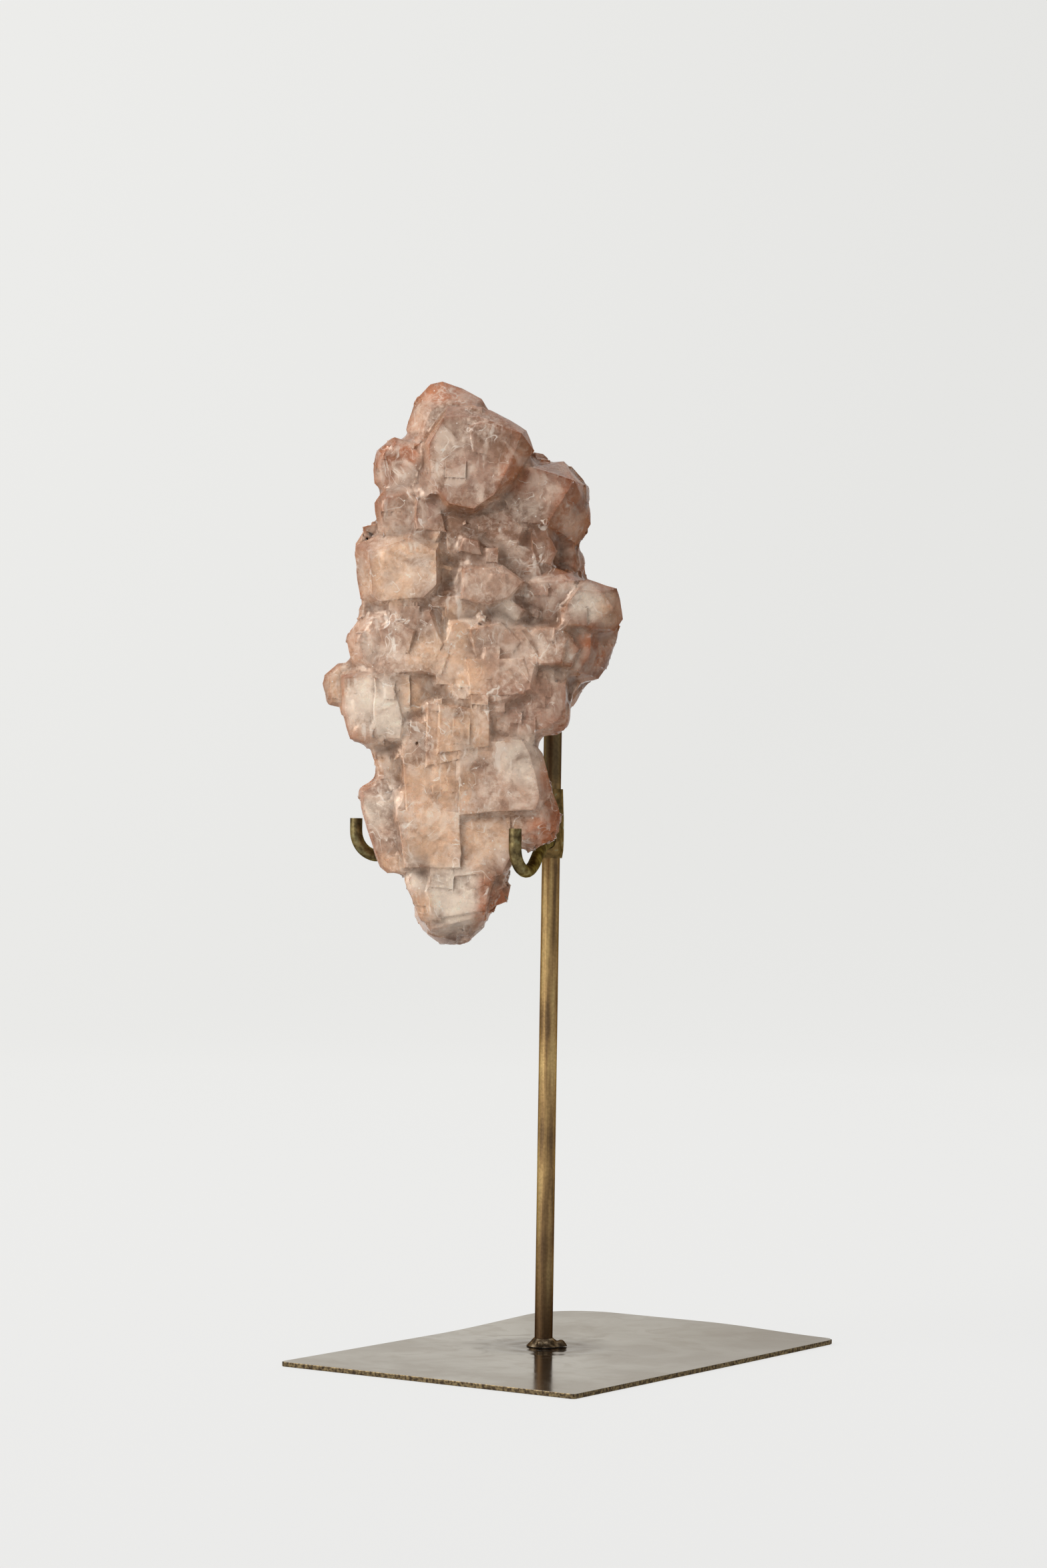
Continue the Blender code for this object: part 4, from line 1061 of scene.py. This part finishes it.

# %% [markdown]
# ## The sheet brass plate
# The plate is rolled sheet, sheared to size: its top is satin enough to mirror the rod, grey-brown in wisps
# and darker towards its right corner, with a darker halo and ripples where the torch heated it around the
# rod.
# Its sheared edges are bare olive gold. Polish and edge are one sheet, so the normal tells them apart.


# %% Rolled brass sheet, heat-marked
def rolled_sheet(tree, place):
    centre = {"Vector": place, "Location": (-POST_AXIS.x, -POST_AXIS.y, 0)}
    around_rod = add(tree, "ShaderNodeMapping", centre).outputs["Vector"]
    reach = add(tree, "ShaderNodeVectorMath", {0: around_rod}, operation="LENGTH").outputs["Value"]
    broad = {"Vector": place, "Scale": per(46), "Detail": 4, "Roughness": 0.55, "Distortion": 0.7}
    cloud = add(tree, "ShaderNodeTexNoise", broad).outputs["Fac"]
    stops = ((0.4, "#c2bcb3"), (0.5, "#d6d3cc"), (0.6, "#e2e0da"))
    colour = add(tree, "ShaderNodeValToRGB", {"Fac": cloud}, stops=stops).outputs["Color"]
    narrow = {"Vector": place, "Scale": per(12), "Detail": 4, "Distortion": 1.2}
    wisp = add(tree, "ShaderNodeTexNoise", narrow).outputs["Fac"]
    brown = add(tree, "ShaderNodeMapRange", {0: wisp, 1: 0.5, 2: 0.66, 4: 0.45}).outputs[0]
    # Darker towards the plate's right corner
    measured = {0: place, 1: rightward}
    far = add(tree, "ShaderNodeVectorMath", measured, operation="DOT_PRODUCT").outputs["Value"]
    darker_to_right = add(tree, "ShaderNodeMapRange", {0: far, 1: 5 * MM, 2: 85 * MM, 4: 0.65}).outputs[0]
    wisped = {0: wisp, 1: -30 * MM, 2: reach}
    broken = add(tree, "ShaderNodeMath", wisped, operation="MULTIPLY_ADD").outputs[0]
    heat = add(tree, "ShaderNodeMapRange", {0: broken, 1: 13 * MM, 2: -8 * MM, 4: 0.9}).outputs[0]
    normal = add(tree, "ShaderNodeNewGeometry").outputs["Normal"]
    upness = add(tree, "ShaderNodeSeparateXYZ", {0: normal}).outputs["Z"]
    sheared = add(tree, "ShaderNodeMapRange", {0: upness, 1: 0.97, 2: 0.8}).outputs[0]
    bite = add(tree, "ShaderNodeTexNoise", {"Vector": place, "Scale": per(1.1), "Detail": 3}).outputs["Fac"]
    stops = ((0.4, "#40352a"), (0.62, "#7f6e50"))
    edge = add(tree, "ShaderNodeValToRGB", {"Fac": bite}, stops=stops).outputs["Color"]
    for amount, over in ((brown, "#b8aea1"), (darker_to_right, "#857869"), (heat, "#5b4b3d"), (sheared, edge)):
        colour = add(tree, "ShaderNodeMix", {0: amount, 6: colour, 7: over}, data_type="RGBA").outputs[2]
    polish = add(tree, "ShaderNodeMapRange", {0: wisp, 1: 0.3, 2: 0.7, 3: 0.10, 4: 0.17}).outputs[0]
    rougher = {0: sheared, 1: 0.35, 2: polish}
    roughness = add(tree, "ShaderNodeMath", rougher, operation="MULTIPLY_ADD").outputs[0]
    # Ripples 9 mm apart around the rod, which fade out before 34 mm
    ring = add(tree, "ShaderNodeMath", {0: reach, 1: 700.0}, operation="MULTIPLY").outputs[0]
    ring = add(tree, "ShaderNodeMath", {0: cloud, 1: 9.0, 2: ring}, operation="MULTIPLY_ADD").outputs[0]
    wave = add(tree, "ShaderNodeMath", {0: ring}, operation="SINE").outputs[0]
    fading = add(tree, "ShaderNodeMapRange", {0: reach, 1: 34 * MM, 2: 8 * MM}).outputs[0]
    ripple = add(tree, "ShaderNodeMath", {0: wave, 1: fading}, operation="MULTIPLY").outputs[0]
    height = add(tree, "ShaderNodeMath", {0: cloud, 1: 2.0, 2: ripple}, operation="MULTIPLY_ADD").outputs[0]
    dents = add(tree, "ShaderNodeBump", {"Height": height, "Strength": 0.5, "Distance": 0.12 * MM})
    finish = {"Base Color": colour, "Metallic": 1.0, "Roughness": roughness, "Specular Tint": "#d6d1ca"}
    return finish | {"Normal": dents.outputs["Normal"]}


sheet_brass = new_material("brass sheet, rolled, dulled and heat-marked", rolled_sheet)
print(sheet_brass.name, "has", len(sheet_brass.node_tree.nodes), "nodes")

# %% [markdown]
# ## The plate's lift
# Sheet that has been heated in one place doesn't stay flat: the back edge stands a little off the table.
# The CAD plate is flat, so a copy stands in for it. Its rim is eased with a narrow bevel, its faces are cut
# into 4 mm squares so that it can bend, and its points rise towards the back in one smooth curve.


# %% The plate, lifted a little at its back
LIFT = 1.7  # mm that the back edge stands off the table
SQUARE = 4 * MM  # the small faces that let the sheet bend


def eased(values):
    held = np.clip(values, 0, 1)
    return held * held * (3 - 2 * held)


def warped_plate():
    """The plate's solid with its rim eased, cut into small faces and lifted by the torch's heat."""
    plate = welded_copy("base_plate", "plate_sheet")
    bm = bmesh.new()
    bm.from_mesh(plate.data)
    bmesh.ops.dissolve_limit(bm, angle_limit=math.radians(1), verts=bm.verts, edges=bm.edges)
    rim = [edge for edge in bm.edges if edge.calc_face_angle(0) > math.radians(60)]
    bmesh.ops.bevel(bm, geom=rim, offset=0.2 * MM, segments=2, profile=0.5, affect="EDGES")
    low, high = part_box("base_plate")
    for axis, way in ((0, (1, 0, 0)), (1, (0, 1, 0))):
        for cut in np.arange(low[axis] + SQUARE, high[axis] - 3 * MM, SQUARE):
            spot = [0.0, 0.0, 0.0]
            spot[axis] = cut
            everything = list(bm.verts) + list(bm.edges) + list(bm.faces)
            bmesh.ops.bisect_plane(bm, geom=everything, plane_co=spot, plane_no=way, dist=0.0001 * MM)
    bm.to_mesh(plate.data)
    bm.free()
    points = read_points(plate.data)
    across, along = points[:, 0] / MM, points[:, 1] / MM
    back = eased((along - 5) / 80)
    right = eased((across - 4) / 52)
    points[:, 2] += LIFT * MM * back * (1 - 0.92 * right)
    write_points(plate.data, points)
    plate.data.shade_smooth()
    plate.data.set_sharp_from_angle(angle=math.radians(12))
    return plate


plate = warped_plate()
plate.data.materials.clear()
plate.data.materials.append(sheet_brass)
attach(plate, "root")
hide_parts("base_plate")
top = read_points(plate.data)[:, 2].max() / MM
print("plate:", len(plate.data.polygons), "faces, up to", round(top, 2), "mm")

# %% [markdown]
# ## The foot's braze
# Filler metal froze around the rod in an uneven bead with a few blobs, black and brown from the torch. The
# CAD node is a clean turned mound, so a lumpy copy stands in for it: rings of points around the rod are
# pushed in and out by noise, and two blobs are grown where the filler ran.


# %% A lumpy bead of filler
BLOBS = ((34, 6.2, 2.7), (-70, 4.6, 1.2))  # turn about the rod, reach and radius


def lumpy_bead():
    sides, rings = 72, 15
    inner, low = 3.15, 1.9  # mm, just outside the rod and just above the sheet
    bm = bmesh.new()
    rows = []
    for ring in range(rings):
        part = ring / (rings - 1)
        row = []
        for side in range(sides):
            turn = math.tau * side / sides
            out = inner + 2.6 * (1 - part) ** 0.9
            rise = low + 2.6 * part**1.2
            for blob_turn, reach, radius in BLOBS:
                aside = turn - math.radians(blob_turn)
                away = math.hypot(out - reach * math.cos(aside), reach * math.sin(aside))
                near = max(0.0, 1 - (away / radius) ** 2)
                rise += 1.5 * near * math.sin(math.pi * min(1.0, 1.6 * part))
                out += 2.2 * near * (1 - part)
            row.append(bm.verts.new((out * math.cos(turn), out * math.sin(turn), rise if ring else low)))
        rows.append(row)
    for here, there in zip(rows, rows[1:]):
        for side in range(sides):
            after = (side + 1) % sides
            bm.faces.new((here[side], here[after], there[after], there[side]))
    bm.faces.new(rows[-1])
    bm.faces.new(list(reversed(rows[0])))
    mesh = made_mesh("foot_bead", bm)
    points = read_points(mesh)
    ways = read_normals(mesh)
    outside = np.clip((np.hypot(points[:, 0], points[:, 1]) - inner - 0.2) / 0.6, 0, 1)
    above = np.clip((points[:, 2] - low) / 0.4, 0, 1)
    bumps = 0.18 * cloudy(points, 2.4, 51) + 0.08 * cloudy(points, 0.9, 57)
    points += ways * (bumps * outside * above)[:, None]
    write_points(mesh, points * MM + np.array(POST_AXIS))
    mesh.shade_smooth()
    return add_object("foot_bead", mesh)


def torch_blackened(tree, place):
    mottle = add(tree, "ShaderNodeTexNoise", {"Vector": place, "Scale": per(1.8), "Detail": 4}).outputs["Fac"]
    stops = ((0.38, "#362d23"), (0.52, "#5f5140"), (0.62, "#85755f"), (0.72, "#a59885"))
    colour = add(tree, "ShaderNodeValToRGB", {"Fac": mottle}, stops=stops).outputs["Color"]
    roughness = add(tree, "ShaderNodeMapRange", {0: mottle, 1: 0.3, 2: 0.7, 3: 0.6, 4: 0.35}).outputs[0]
    return {"Base Color": colour, "Metallic": 1.0, "Roughness": roughness, "Specular Tint": "#a08c70"}


foot_bead = lumpy_bead()
foot_bead.data.materials.append(new_material("brazing filler, torch-blackened", torch_blackened))
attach(foot_bead, "root")
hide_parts("foot_braze")
print("foot bead:", len(foot_bead.data.polygons), "faces")
